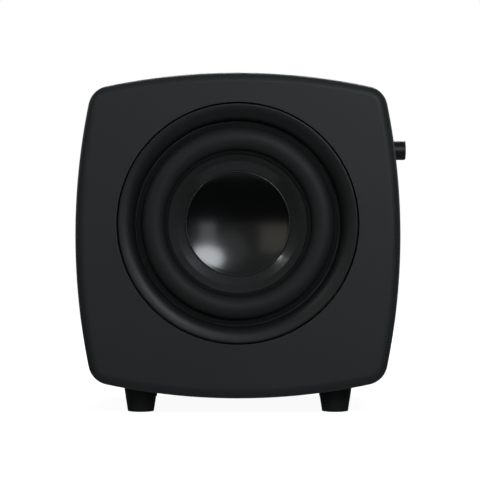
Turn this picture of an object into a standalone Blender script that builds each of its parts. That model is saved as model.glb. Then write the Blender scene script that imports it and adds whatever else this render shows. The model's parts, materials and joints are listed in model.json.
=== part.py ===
"""Compact powered subwoofer: a sealed cabinet with bowed sides, one front driver, an amplifier panel
at the back and a level knob on its right-hand side.

Metres, +Z up. The driver faces -Y and the level knob is on +X. The origin is on the floor, under the
middle of the whole object's box. Every piece is modelled in one of three frames, each an empty:

    cabinet_frame  x to the right, y up, z forward, from the middle of the cabinet's front face;
                   depth d is z = -d
    driver_frame   the same, from the driver's axis
    floor_frame    x to the right, y backward, z up, from the floor under the front face
"""

import math

import bmesh
import bpy

# --------------------------------------------------------------------------------------------------
# Driving dimensions, in metres
# --------------------------------------------------------------------------------------------------

GAP = 0.0003  # clearance between pieces that touch

# Cabinet
CABINET_WIDTH = 0.3118
CABINET_HEIGHT = 0.3126
CABINET_DEPTH = 0.300
SIDE_BOW_RADIUS = 0.630  # radius of the left and right arcs of the front outline
TOP_BOW_RADIUS = 0.604  # radius of the top and bottom arcs
CORNER_RADIUS = 0.022
EDGE_ROUND = 0.010
WALL = 0.015
FLOOR_CLEARANCE = 0.0149  # floor to the cabinet's lowest point
REAR_OVERHANG = 0.014  # how far the crossover knob stands behind the cabinet

# Driver, as depths behind the front face and radii from its axis
DRIVER_RISE = 0.0115  # axis above the cabinet's middle
DRIVER_SEGMENTS = 32
OPENING_RADIUS = 0.1159
TRIM_RADIUS = 0.1149
TRIM_LIP_RADIUS = 0.0983
TRIM_SHELL = 0.0025
TRIM_CURVE = 2.35  # exponent of the trim ring's round-over; 2 would be an ellipse
TRIM_TILT = 0.10  # share of the round-over's fall that is a straight cone
FLANGE_FRONT = 0.0140
FLANGE_THICKNESS = 0.0030
FLANGE_RADIUS = 0.1110
GASKET_THICKNESS = 0.0015
BAFFLE_THICKNESS = 0.015
BAFFLE_HOLE_RADIUS = 0.0960
DRIVER_SCREW_PITCH_RADIUS = 0.1045
SURROUND_OUTER_RADIUS = 0.0925
SURROUND_INNER_RADIUS = 0.0706
SURROUND_HEIGHT = 0.0090
RUBBER_THICKNESS = 0.0010
CONE_RADIUS = 0.0700
CONE_THICKNESS = 0.0012
DUST_CAP_RADIUS = 0.0500
DUST_CAP_BOWL_RADIUS = 0.150
FORMER_RADIUS = 0.0195
COIL_RADIUS = 0.0212
SPIDER_RADIUS = 0.0640
PLATE_RADIUS = 0.0560
MAGNET_RADIUS = 0.0600
POLE_RADIUS = 0.0180
VENT_RADIUS = 0.0060

# Back of the cabinet
REAR_PANEL_FACE = 0.2960  # depth of its outer face
REAR_PANEL_THICKNESS = 0.012
AMP_CUTOUT = (0.146, 0.196)
AMP_PANEL = (0.170, 0.220, 0.0025)
AMP_SCREW_SPACING = (0.158, 0.208)
BOARD_DEPTH = 0.2500

# Feet
FRONT_FOOT_SPREAD = 0.0945  # from the middle to each front foot's axis
REAR_FOOT_SPREAD = 0.0992
FOOT_INSET = 0.045  # from the front or rear face to each foot's axis
FOOT_BOTTOM_RADIUS = 0.0126
FOOT_TAPER = 0.155  # growth of radius per metre of height
FOOT_SEGMENTS = 16

# Side knob
KNOB_DEPTH = 0.125  # from the front face
KNOB_RISE = 0.086  # above the cabinet's middle
KNOB_END = 0.1691  # from the cabinet's middle plane to the knob's outer end
KNOB_RADIUS = 0.0098
KNOB_SEGMENTS = 20

# Worked out from the above
FRONT_WALL = FLANGE_FRONT + FLANGE_THICKNESS + GAP + GASKET_THICKNESS
BAFFLE_FRONT = FRONT_WALL + GAP
CABINET_X = -(KNOB_END - CABINET_WIDTH / 2) / 2
FRONT_Y = -(CABINET_DEPTH + REAR_OVERHANG) / 2
CABINET_Z = FLOOR_CLEARANCE + CABINET_HEIGHT / 2
AMP_FACE = REAR_PANEL_FACE + GAP + AMP_PANEL[2]  # depth of the amplifier panel's outer face
FITTING_FACE = AMP_FACE + GAP  # depth where pieces on that panel begin
REAR_LIMIT = CABINET_DEPTH + REAR_OVERHANG

# Colours are linear RGB
SATIN_BLACK = (0.020, 0.021, 0.022)
RUBBER_BLACK = (0.012, 0.012, 0.012)
GLOSS_BLACK = (0.006, 0.006, 0.007)
DARK_FIBRE = (0.045, 0.040, 0.035)
BOARD_BROWN = (0.30, 0.20, 0.11)
STEEL = (0.55, 0.55, 0.56)
FERRITE = (0.035, 0.036, 0.038)
COPPER = (0.72, 0.30, 0.14)
FELT_GREY = (0.25, 0.25, 0.24)
BOARD_GREEN = (0.02, 0.16, 0.06)
WIRE_RED = (0.45, 0.02, 0.02)

Y_TO_UP = math.pi / 2  # about X: turns the front outline's plane upright
ALONG_UP = -math.pi / 2  # about X in cabinet_frame: an extruded outline then runs upward


# --------------------------------------------------------------------------------------------------
# Scene, materials and frames
# --------------------------------------------------------------------------------------------------


def clear_scene():
    for old in list(bpy.data.objects):
        bpy.data.objects.remove(old, do_unlink=True)


def new_collection(name):
    collection = bpy.data.collections.new(name)
    bpy.context.scene.collection.children.link(collection)
    return collection


def material(name, colour, roughness, metallic=0.0):
    made = bpy.data.materials.new(name)
    made.use_nodes = True
    shader = made.node_tree.nodes["Principled BSDF"]
    shader.inputs["Base Color"].default_value = (*colour, 1.0)
    shader.inputs["Roughness"].default_value = roughness
    shader.inputs["Metallic"].default_value = metallic
    made.diffuse_color = (*colour, 1.0)
    return made


def empty(name, parent=None, location=(0.0, 0.0, 0.0), rotation=(0.0, 0.0, 0.0)):
    made = bpy.data.objects.new(name, None)
    made.empty_display_size = 0.02
    made.parent = parent
    made.location = location
    made.rotation_euler = rotation
    PARTS.objects.link(made)
    return made


def place(made, parent, location=(0.0, 0.0, 0.0), rotation=(0.0, 0.0, 0.0)):
    made.parent = parent
    made.location = location
    made.rotation_euler = rotation
    return made


def dress(made, colour, roughness, metallic=0.0):
    made.data.materials.append(material(made.name + "_finish", colour, roughness, metallic))
    return made


def as_cutter(made):
    """Moves an object to the cutters and hides it from renders."""
    PARTS.objects.unlink(made)
    CUTTERS.objects.link(made)
    made.hide_render = True
    made.display_type = "WIRE"
    return made


# --------------------------------------------------------------------------------------------------
# Shapes
# --------------------------------------------------------------------------------------------------


def signed_area(points):
    following = points[1:] + points[:1]
    return sum(a[0] * b[1] - b[0] * a[1] for a, b in zip(points, following)) / 2


def turned(name, profile, segments=DRIVER_SEGMENTS, closed=True):
    """A solid turned about local Z from (radius, height) points. An open one starts and ends on the axis."""
    points = list(profile)
    if signed_area(points) > 0:
        points.reverse()
    mesh = bpy.data.meshes.new(name)
    edges = [(i, i + 1) for i in range(len(points) - 1)]
    if closed:
        edges.append((len(points) - 1, 0))
    mesh.from_pydata([(radius, 0.0, height) for radius, height in points], edges, [])
    made = bpy.data.objects.new(name, mesh)
    PARTS.objects.link(made)
    screw = made.modifiers.new("turn", "SCREW")
    screw.axis = "Z"
    screw.angle = math.tau
    screw.steps = segments
    screw.render_steps = segments
    screw.use_merge_vertices = True
    screw.merge_threshold = 0.00001
    screw.use_smooth_shade = False
    return made


def turned_by_depth(name, profile, segments=DRIVER_SEGMENTS, closed=True):
    """As turned, from (radius, depth) points, where depth runs back from the front face."""
    return turned(name, [(radius, -depth) for radius, depth in profile], segments, closed)


def disc(name, radius, low, high, segments=DRIVER_SEGMENTS):
    """A plain cylinder about local Z, from low to high."""
    return turned(name, [(0.0, high), (radius, high), (radius, low), (0.0, low)], segments, closed=False)


def tube_ring(name, inner, outer, low, high, segments=DRIVER_SEGMENTS):
    """A ring of square section about local Z, from low to high."""
    return turned(name, [(inner, high), (outer, high), (outer, low), (inner, low)], segments)


def curve_as_mesh(made, weld):
    """Replaces a curve object with a welded mesh object of the same name and place."""
    bpy.context.view_layer.update()
    evaluated = made.evaluated_get(bpy.context.evaluated_depsgraph_get())
    mesh = bpy.data.meshes.new_from_object(evaluated)
    name = made.name
    curve = made.data
    bpy.data.objects.remove(made, do_unlink=True)
    bpy.data.curves.remove(curve)
    edit = bmesh.new()
    edit.from_mesh(mesh)
    bmesh.ops.remove_doubles(edit, verts=edit.verts[:], dist=weld)
    bmesh.ops.dissolve_limit(edit, angle_limit=0.005, verts=edit.verts[:], edges=edit.edges[:])
    edit.to_mesh(mesh)
    edit.free()
    mesh.name = name
    solid = bpy.data.objects.new(name, mesh)
    PARTS.objects.link(solid)
    return solid


def prism(name, outline, low, high):
    """A flat outline in local XY, made solid from low to high along local Z."""
    curve = bpy.data.curves.new(name, "CURVE")
    curve.dimensions = "2D"
    curve.fill_mode = "BOTH"
    curve.extrude = (high - low) / 2
    spline = curve.splines.new("POLY")
    spline.points.add(len(outline) - 1)
    for point, (x, y) in zip(spline.points, outline):
        point.co = (x, y, 0.0, 1.0)
    spline.use_cyclic_u = True
    made = bpy.data.objects.new(name, curve)
    PARTS.objects.link(made)
    solid = curve_as_mesh(made, 0.00001)
    for vertex in solid.data.vertices:
        vertex.co.z += (high + low) / 2
    return solid


def box(name, size, centre=(0.0, 0.0, 0.0)):
    """A box of this size with its middle at centre, in its own mesh."""
    mesh = bpy.data.meshes.new(name)
    edit = bmesh.new()
    bmesh.ops.create_cube(edit, size=1.0)
    bmesh.ops.scale(edit, vec=size, verts=edit.verts[:])
    bmesh.ops.translate(edit, vec=centre, verts=edit.verts[:])
    edit.to_mesh(mesh)
    edit.free()
    made = bpy.data.objects.new(name, mesh)
    PARTS.objects.link(made)
    return made


def smooth_route(points, steps):
    """Points along a smooth curve through the given ones (Catmull-Rom), with steps to each stretch."""
    padded = [points[0], *points, points[-1]]
    route = []
    for i in range(len(points) - 1):
        before, start, end, after = padded[i : i + 4]
        for step in range(steps):
            t = step / steps
            route.append(
                tuple(
                    0.5
                    * (
                        2 * b
                        + (c - a) * t
                        + (2 * a - 5 * b + 4 * c - d) * t * t
                        + (3 * b - a - 3 * c + d) * t**3
                    )
                    for a, b, c, d in zip(before, start, end, after)
                )
            )
    route.append(tuple(points[-1]))
    return route


def wire(name, points, radius, steps=3):
    """A round wire along a smooth route."""
    route = smooth_route(points, steps)
    curve = bpy.data.curves.new(name, "CURVE")
    curve.dimensions = "3D"
    curve.bevel_depth = radius
    curve.bevel_resolution = 2
    curve.use_fill_caps = True
    spline = curve.splines.new("POLY")
    spline.points.add(len(route) - 1)
    for point, place_on_route in zip(spline.points, route):
        point.co = (*place_on_route, 1.0)
    made = bpy.data.objects.new(name, curve)
    PARTS.objects.link(made)
    return made


def round_edges(made, width, segments, angle_degrees=60):
    bevel = made.modifiers.new("edges", "BEVEL")
    bevel.width = width
    bevel.segments = segments
    bevel.limit_method = "ANGLE"
    bevel.angle_limit = math.radians(angle_degrees)
    bevel.use_clamp_overlap = False
    return made


def combine(made, other, operation):
    as_cutter(other)
    boolean = made.modifiers.new(other.name, "BOOLEAN")
    boolean.operation = operation
    boolean.solver = "EXACT"
    boolean.object = other
    return made


def cut(made, *cutters):
    for cutter in cutters:
        combine(made, cutter, "DIFFERENCE")
    return made


def join(made, *others):
    for other in others:
        combine(made, other, "UNION")
    return made


def smooth(made, degrees=35):
    made.data.shade_smooth()
    made.data.set_sharp_from_angle(angle=math.radians(degrees))
    return made


# --------------------------------------------------------------------------------------------------
# Outlines
# --------------------------------------------------------------------------------------------------


def corner_centre():
    """Middle of the top right corner's arc, which touches the side arc and the top arc from inside."""
    side_x = CABINET_WIDTH / 2 - SIDE_BOW_RADIUS
    top_y = CABINET_HEIGHT / 2 - TOP_BOW_RADIUS
    from_side = SIDE_BOW_RADIUS - CORNER_RADIUS
    from_top = TOP_BOW_RADIUS - CORNER_RADIUS
    apart = math.hypot(side_x, top_y)
    along = (from_side**2 - from_top**2 + apart**2) / (2 * apart)
    across = math.sqrt(from_side**2 - along**2)
    towards_x = -side_x / apart
    towards_y = top_y / apart
    x = side_x + along * towards_x - across * towards_y
    y = along * towards_y + across * towards_x
    return x, y


def arc(centre, radius, start, end, segments):
    """Points on an arc, without its last one."""
    turns = [start + (end - start) * i / segments for i in range(segments)]
    return [(centre[0] + radius * math.cos(t), centre[1] + radius * math.sin(t)) for t in turns]


def cabinet_outline(inset=0.0, bow_segments=8, corner_segments=5):
    """The cabinet's front outline, moved inward by inset, anticlockwise from the right side's lower end."""
    corner_x, corner_y = corner_centre()
    side = (CABINET_WIDTH / 2 - SIDE_BOW_RADIUS, 0.0)
    top = (0.0, CABINET_HEIGHT / 2 - TOP_BOW_RADIUS)
    side_turn = math.atan2(corner_y, corner_x - side[0])
    top_turn = math.atan2(corner_y - top[1], corner_x)
    right_half = arc(side, SIDE_BOW_RADIUS - inset, -side_turn, side_turn, bow_segments)
    corner = arc((corner_x, corner_y), CORNER_RADIUS - inset, side_turn, top_turn, corner_segments)
    top_half = arc(top, TOP_BOW_RADIUS - inset, top_turn, math.pi - top_turn, bow_segments)
    left_corner = arc(
        (-corner_x, corner_y), CORNER_RADIUS - inset, math.pi - top_turn, math.pi - side_turn, corner_segments
    )
    first = right_half + corner + top_half + left_corner
    second = [(-x, -y) for x, y in first]
    return first + second


def rounded_rectangle(width, height, radius, segments=4):
    points = []
    for quarter, (sign_x, sign_y) in enumerate([(1, 1), (-1, 1), (-1, -1), (1, -1)]):
        centre = (sign_x * (width / 2 - radius), sign_y * (height / 2 - radius))
        start = quarter * math.pi / 2
        points += arc(centre, radius, start, start + math.pi / 2, segments)
        points.append(
            (
                centre[0] + radius * math.cos(start + math.pi / 2),
                centre[1] + radius * math.sin(start + math.pi / 2),
            )
        )
    return points


def side_height_to_x(height):
    """Half width of the cabinet at this height above its middle."""
    return CABINET_WIDTH / 2 - SIDE_BOW_RADIUS + math.sqrt(SIDE_BOW_RADIUS**2 - height**2)


# --------------------------------------------------------------------------------------------------
# Cabinet
# --------------------------------------------------------------------------------------------------


def cabinet_board(name, front, thickness, inset=WALL + GAP):
    """A board that fills the cabinet from wall to wall, behind depth front."""
    return prism(name, cabinet_outline(inset), -front - thickness, -front)


def make_cabinet_shell(frame, floor_frame):
    shell = place(prism("cabinet_shell", cabinet_outline(), -CABINET_DEPTH, 0.0), frame)
    round_edges(shell, EDGE_ROUND, 3)
    cavity = prism("cabinet_cavity", cabinet_outline(WALL), -CABINET_DEPTH - 0.010, -FRONT_WALL)
    opening = disc("driver_opening", OPENING_RADIUS, -FRONT_WALL - 0.010, 0.010)
    knob_hole = disc("knob_hole", 0.0040, -0.030, 0.030, 12)
    pot_pocket = disc("pot_pocket", 0.0115, -0.030, -0.0040, 20)
    cut(shell, place(cavity, frame), place(opening, frame, (0.0, DRIVER_RISE, 0.0)))
    for cutter in (knob_hole, pot_pocket):
        cut(shell, place(cutter, frame, knob_root(), knob_direction()))
    for x, y in foot_places():
        hole = disc("foot_screw_hole", 0.0022, 0.010, 0.0350, 8)
        cut(shell, place(hole, floor_frame, (x, y, 0.0)))
    dress(smooth(shell), SATIN_BLACK, 0.45)


def make_baffle_board(frame):
    board = place(cabinet_board("baffle_board", BAFFLE_FRONT, BAFFLE_THICKNESS), frame)
    middle = (0.0, DRIVER_RISE, 0.0)
    hole = disc("baffle_hole", BAFFLE_HOLE_RADIUS, -BAFFLE_FRONT - 0.020, -BAFFLE_FRONT + 0.005)
    cut(board, place(hole, frame, middle))
    for x, y in driver_screw_places():
        screw_hole = disc("baffle_screw_hole", 0.0022, -BAFFLE_FRONT - 0.020, -BAFFLE_FRONT + 0.005, 8)
        cut(board, place(screw_hole, frame, (x, y + DRIVER_RISE, 0.0)))
    dress(board, BOARD_BROWN, 0.8)


def make_rear_panel(frame):
    front = REAR_PANEL_FACE - REAR_PANEL_THICKNESS
    panel = place(cabinet_board("rear_panel", front, REAR_PANEL_THICKNESS), frame)
    window = prism("amp_cutout", rounded_rectangle(*AMP_CUTOUT, 0.006), -0.310, -0.270)
    cut(panel, place(window, frame))
    for x, y in amp_screw_places():
        hole = disc("rear_screw_hole", 0.0019, -0.310, -0.270, 8)
        cut(panel, place(hole, frame, (x, y, 0.0)))
    dress(panel, SATIN_BLACK, 0.55)


def make_window_brace(frame):
    brace = place(cabinet_board("window_brace", 0.150, 0.012), frame)
    window = prism("brace_window", rounded_rectangle(0.190, 0.190, 0.030, 5), -0.170, -0.140)
    cut(brace, place(window, frame))
    dress(brace, BOARD_BROWN, 0.8)


def make_damping_sheets(frame):
    """A felt sheet on each side wall, between the brace and the rear panel, bent to the wall."""
    thickness = 0.010
    half_turn = math.asin(0.100 / SIDE_BOW_RADIUS)
    for name, sign in (("damping_sheet_left", -1), ("damping_sheet_right", 1)):
        centre = (CABINET_WIDTH / 2 - SIDE_BOW_RADIUS, 0.0)
        outer_radius = SIDE_BOW_RADIUS - WALL - GAP
        outer = arc(centre, outer_radius, -half_turn, half_turn, 8)
        inner = arc(centre, outer_radius - thickness, half_turn, -half_turn, 8)
        outline = [(sign * x, y) for x, y in outer + inner]
        dress(place(prism(name, outline, -0.282, -0.165), frame), FELT_GREY, 0.95)


# --------------------------------------------------------------------------------------------------
# Driver
# --------------------------------------------------------------------------------------------------


def driver_screw_places():
    """Screw axes about the driver's own axis, at the diagonals."""
    reach = DRIVER_SCREW_PITCH_RADIUS / math.sqrt(2)
    return [(reach, reach), (-reach, reach), (-reach, -reach), (reach, -reach)]


def make_trim_ring(frame):
    """A thin ring whose front rounds over from the face down to its inner lip."""
    shoulder = TRIM_RADIUS - 0.0010
    width = shoulder - TRIM_LIP_RADIUS
    fall = FLANGE_FRONT - GAP
    shares = [math.sin(math.pi / 2 * i / 6) for i in range(7)]
    curve = [1 - (1 - share**TRIM_CURVE) ** (1 / TRIM_CURVE) for share in shares]
    falls = [TRIM_TILT * share + (1 - TRIM_TILT) * fallen for share, fallen in zip(shares, curve)]
    front = [(shoulder - width * a, fall * b) for a, b in zip(shares, falls)]
    inner_width = width - TRIM_SHELL
    inner_fall = fall - TRIM_SHELL
    inside = [
        (shoulder - 0.0010 - inner_width * shares[i], TRIM_SHELL + inner_fall * falls[i])
        for i in (0, 3, 5, 6)
    ]
    back = FRONT_WALL - GAP
    wall = [(TRIM_RADIUS - 0.0030, back), (TRIM_RADIUS, back), (TRIM_RADIUS, 0.0006)]
    profile = front + inside[::-1] + wall
    ring = place(turned_by_depth("trim_ring", profile), frame)
    dress(smooth(ring), SATIN_BLACK, 0.30)


def basket_profile():
    """(radius, depth) section of the driver's frame, from its flange to the plate that carries the magnet."""
    back = FLANGE_FRONT + FLANGE_THICKNESS
    return [
        (0.0910, FLANGE_FRONT),
        (FLANGE_RADIUS, FLANGE_FRONT),
        (FLANGE_RADIUS, back),
        (0.0945, back),
        (0.0925, 0.0230),
        (0.0790, 0.0480),
        (0.0665, 0.0560),
        (0.0600, 0.0690),
        (0.0400, 0.0690),
        (0.0400, 0.0665),
        (0.0560, 0.0665),
        (0.0600, 0.0565),
        (0.0600, 0.0530),
        (0.0650, 0.0530),
        (0.0760, 0.0460),
        (0.0890, 0.0225),
    ]


def make_basket(frame):
    basket = place(turned_by_depth("driver_basket", basket_profile()), frame)
    for i in range(6):
        window = box("basket_window", (0.050, 0.056, 0.021), (0.0920, 0.0, -0.0365))
        cut(basket, place(window, frame, rotation=(0.0, 0.0, math.radians(30 + 60 * i))))
    for x, y in driver_screw_places():
        hole = disc("flange_hole", 0.0023, -0.020, -0.010, 8)
        cut(basket, place(hole, frame, (x, y, 0.0)))
    dress(basket, FERRITE, 0.5, 0.6)


def make_gasket(frame):
    front = FLANGE_FRONT + FLANGE_THICKNESS + GAP
    back = front + GASKET_THICKNESS
    gasket = tube_ring("driver_gasket", BAFFLE_HOLE_RADIUS + GAP, FLANGE_RADIUS, -back, -front)
    place(gasket, frame)
    for x, y in driver_screw_places():
        hole = disc("gasket_hole", 0.0023, -0.025, -0.010, 8)
        cut(gasket, place(hole, frame, (x, y, 0.0)))
    dress(gasket, RUBBER_BLACK, 0.9)


def roll_points(rise, half_width, middle, base, count):
    """(radius, depth) points over a half roll, from its outer foot to its inner foot."""
    turns = [math.pi * i / count for i in range(count + 1)]
    return [(middle + half_width * math.cos(t), base - rise * math.sin(t)) for t in turns]


def make_surround(frame):
    """Half-roll edge: an outer flange on the basket, the roll, and an inner flange on the cone."""
    middle = (SURROUND_OUTER_RADIUS + SURROUND_INNER_RADIUS) / 2
    half = (SURROUND_OUTER_RADIUS - SURROUND_INNER_RADIUS) / 2
    back = FLANGE_FRONT - GAP
    front = back - RUBBER_THICKNESS
    upper = roll_points(SURROUND_HEIGHT, half, middle, front, 7)
    lower = roll_points(SURROUND_HEIGHT, half - RUBBER_THICKNESS, middle, back, 5)
    profile = [(0.0972, front), *upper, (0.0668, front), (0.0668, back), *lower[::-1], (0.0972, back)]
    surround = place(turned_by_depth("surround", profile), frame)
    dress(smooth(surround), RUBBER_BLACK, 0.55)


def cone_section():
    """(radius, depth) points on the cone's front, from its outer lip to its neck."""
    slope = [(0.0660, 0.0143), (0.0502, 0.0215), (0.0350, 0.0292), (0.0198, 0.0375)]
    return [(CONE_RADIUS, FLANGE_FRONT), *slope]


def make_cone(travel):
    front = cone_section()
    back = [(radius, depth + CONE_THICKNESS) for radius, depth in front]
    cone = place(turned_by_depth("cone", front + back[::-1]), travel)
    dress(smooth(cone), RUBBER_BLACK, 0.35)


def make_dust_cap(travel):
    """A dished cap: part of a sphere, hollow side to the front."""
    rim_depth = 0.0203
    thickness = 0.0010
    radii = [DUST_CAP_RADIUS * i / 4 for i in range(5)]
    sag = [(r, rim_depth + (DUST_CAP_RADIUS**2 - r * r) / (2 * DUST_CAP_BOWL_RADIUS)) for r in radii]
    back = [(r, depth + thickness) for r, depth in sag]
    cap = place(turned_by_depth("dust_cap", sag + back[::-1], closed=False), travel)
    dress(smooth(cap), GLOSS_BLACK, 0.06)


def make_motor(frame, travel):
    """Voice coil, former, spider and magnet system, by depth."""
    former = tube_ring("coil_former", FORMER_RADIUS - 0.0008, FORMER_RADIUS, -0.0860, -0.0340)
    dress(place(former, travel), DARK_FIBRE, 0.5)
    coil = tube_ring("voice_coil", FORMER_RADIUS + GAP, COIL_RADIUS, -0.0853, -0.0625)
    dress(place(coil, travel), COPPER, 0.35, 0.9)

    top_plate = tube_ring("top_plate", COIL_RADIUS + 0.0010, PLATE_RADIUS, -0.0773, -0.0693)
    dress(place(top_plate, frame), STEEL, 0.4, 1.0)
    magnet = tube_ring("magnet_ring", 0.0300, MAGNET_RADIUS, -0.0956, -0.0776)
    dress(place(magnet, frame), FERRITE, 0.6)
    yoke_profile = [
        (VENT_RADIUS, 0.0700),
        (POLE_RADIUS, 0.0700),
        (POLE_RADIUS, 0.0959),
        (PLATE_RADIUS, 0.0959),
        (PLATE_RADIUS, 0.1039),
        (VENT_RADIUS, 0.1039),
    ]
    dress(place(turned_by_depth("pole_yoke", yoke_profile), frame), STEEL, 0.4, 1.0)
    boot_profile = [
        (MAGNET_RADIUS + GAP, 0.0790),
        (0.0625, 0.0790),
        (0.0625, 0.1062),
        (0.0200, 0.1062),
        (0.0200, 0.1042),
        (MAGNET_RADIUS + GAP, 0.1042),
    ]
    dress(place(turned_by_depth("magnet_boot", boot_profile), frame), RUBBER_BLACK, 0.8)


def make_spider(frame):
    """Corrugated disc from the coil former out to the basket's ledge."""
    thickness = 0.0008
    rest = 0.0515
    inner = FORMER_RADIUS + GAP
    folds = 8
    first = 0.0240
    pitch = (0.0580 - first) / folds
    zigzag = [(first + pitch * i, rest - 0.0012 * (-1) ** i) for i in range(folds + 1)]
    front = [(inner, rest - 0.0010), *zigzag, (SPIDER_RADIUS, rest + 0.0004)]
    back = [(radius, depth + thickness) for radius, depth in front]
    spider = place(turned_by_depth("spider", front + back[::-1], 24), frame)
    dress(spider, (0.35, 0.24, 0.08), 0.9)


def make_terminals(frame):
    """Terminal block on the basket's left spoke, and the two braided leads that run from it to the cone."""
    slope = math.atan2(0.0250, 0.0135)
    block = box("terminal_block", (0.012, 0.020, 0.004))
    tab_reach = 0.0110
    tab_size = (tab_reach, 0.0048, 0.0008)
    for side in (-1, 1):
        tab = box("terminal_tab", tab_size, (tab_reach / 2 + 0.0030, side * 0.0055, -0.0006))
        join(block, place(tab, block))
    place(block, frame, (-0.0879, 0.0, -0.0367), (0.0, slope, 0.0))
    dress(block, DARK_FIBRE, 0.6)
    for name, side in (("tinsel_lead_upper", 1), ("tinsel_lead_lower", -1)):
        route = [
            (-0.0885, side * 0.0115, -0.0395),
            (-0.0875, side * 0.0165, -0.0388),
            (-0.0790, side * 0.0225, -0.0388),
            (-0.0640, side * 0.0210, -0.0415),
            (-0.0490, side * 0.0150, -0.0385),
            (-0.0375, side * 0.0100, -0.0303),
        ]
        dress(place(wire(name, route, 0.0008, 2), frame), COPPER, 0.4, 0.9)


def pan_head_screw(name, head_radius, head_height, shank_radius, shank_length, segments=12):
    """A screw along local -Z from the underside of its head, which is at local z = 0."""
    profile = [
        (0.0, head_height),
        (head_radius * 0.65, head_height),
        (head_radius, head_height * 0.45),
        (head_radius, 0.0),
        (shank_radius, 0.0),
        (shank_radius, -shank_length + shank_radius),
        (0.0, -shank_length),
    ]
    return turned(name, profile, segments, closed=False)


def make_driver_screws(frame):
    for i, (x, y) in enumerate(driver_screw_places()):
        screw = pan_head_screw(f"driver_screw_{i + 1}", 0.0036, 0.0022, 0.0018, 0.0180)
        dress(place(screw, frame, (x, y, -FLANGE_FRONT + GAP)), STEEL, 0.35, 1.0)


# --------------------------------------------------------------------------------------------------
# Amplifier and back panel
# --------------------------------------------------------------------------------------------------

HEAT_SINK_MIDDLE = (0.0, 0.060)
CROSSOVER_AXIS = (-0.045, 0.004)
PHASE_MIDDLE = (-0.008, 0.004)
LINE_JACKS = ((0.030, 0.004), (0.055, 0.004))
INLET_MIDDLE = (-0.050, -0.078)
SWITCH_MIDDLE = (-0.014, -0.078)
TRANSFORMER_MIDDLE = (0.040, -0.058)
STANDOFFS = [(x, y) for x in (-0.064, 0.064) for y in (-0.012, 0.090)]
INLET_BODY = (0.0270, 0.0195)
SWITCH_BODY = (0.0130, 0.0190)
PHASE_BODY = (0.0120, 0.0062)


def amp_screw_places():
    """Screw axes at the amplifier panel's corners, about its middle."""
    x = AMP_SCREW_SPACING[0] / 2
    y = AMP_SCREW_SPACING[1] / 2
    return [(-x, -y), (-x, y), (x, -y), (x, y)]


def make_amp_panel(frame):
    front = REAR_PANEL_FACE + GAP
    outline = rounded_rectangle(AMP_PANEL[0], AMP_PANEL[1], 0.006)
    panel = place(prism("amp_panel", outline, -AMP_FACE, -front), frame)
    for x, y in STANDOFFS:
        pillar = disc("standoff", 0.0030, -front - 0.0010, -BOARD_DEPTH - 0.0016 - GAP, 10)
        join(panel, place(pillar, frame, (x, y, 0.0)))
    for (x, y), (width, height) in (
        (INLET_MIDDLE, INLET_BODY),
        (SWITCH_MIDDLE, SWITCH_BODY),
        (PHASE_MIDDLE, PHASE_BODY),
    ):
        slot = box("panel_slot", (width + 2 * GAP, height + 2 * GAP, 0.020), (x, y, -AMP_FACE))
        cut(panel, place(slot, frame))
    for x, y in LINE_JACKS:
        cut(panel, place(disc("jack_hole", 0.0050, -0.310, -0.290, 16), frame, (x, y, 0.0)))
    cut(panel, place(disc("crossover_hole", 0.0040, -0.310, -0.290, 12), frame, (*CROSSOVER_AXIS, 0.0)))
    for x, y in amp_screw_places():
        cut(panel, place(disc("panel_screw_hole", 0.0021, -0.310, -0.290, 8), frame, (x, y, 0.0)))
    dress(panel, SATIN_BLACK, 0.5, 0.3)

    for i, (x, y) in enumerate(amp_screw_places()):
        screw = pan_head_screw(f"amp_panel_screw_{i + 1}", 0.0036, 0.0020, 0.0016, 0.0120)
        place(screw, frame, (x, y, -FITTING_FACE), (math.pi, 0.0, 0.0))
        dress(screw, FERRITE, 0.35, 1.0)


def make_heat_sink(frame):
    """Extruded sink: a base plate with upright fins."""
    width = 0.130
    height = 0.075
    base = 0.0030
    fin = 0.0018
    reach = 0.0125
    fins = 11
    pitch = (width - fin) / (fins - 1)
    outline = [(-width / 2, 0.0), (-width / 2, reach)]
    for i in range(fins):
        left = -width / 2 + pitch * i
        if i:
            outline += [(left, base), (left, reach)]
        outline.append((left + fin, reach))
        if i < fins - 1:
            outline.append((left + fin, base))
    outline.append((width / 2, 0.0))
    sink = prism("heat_sink", outline, -height / 2, height / 2)
    place(sink, frame, (HEAT_SINK_MIDDLE[0], HEAT_SINK_MIDDLE[1], -FITTING_FACE), (ALONG_UP, 0.0, 0.0))
    dress(sink, SATIN_BLACK, 0.45, 0.6)


def make_amp_board(frame):
    board = box("amp_board", (0.140, 0.114, 0.0016), (0.0, 0.039, -BOARD_DEPTH - 0.0008))
    dress(place(board, frame), BOARD_GREEN, 0.5)
    capacitor = disc("filter_capacitor", 0.0125, -BOARD_DEPTH + GAP, -BOARD_DEPTH + 0.0350, 20)
    dress(place(capacitor, frame, (0.030, 0.055, 0.0)), GLOSS_BLACK, 0.3)
    turns = [math.tau * i / 8 for i in range(8)]
    section = [(0.0215 + 0.0125 * math.cos(t), -0.2785 + 0.0150 * math.sin(t)) for t in turns]
    transformer = turned("toroid_transformer", section, 24)
    dress(place(smooth(transformer, 60), frame, (*TRANSFORMER_MIDDLE, 0.0)), (0.50, 0.42, 0.12), 0.5)


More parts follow.
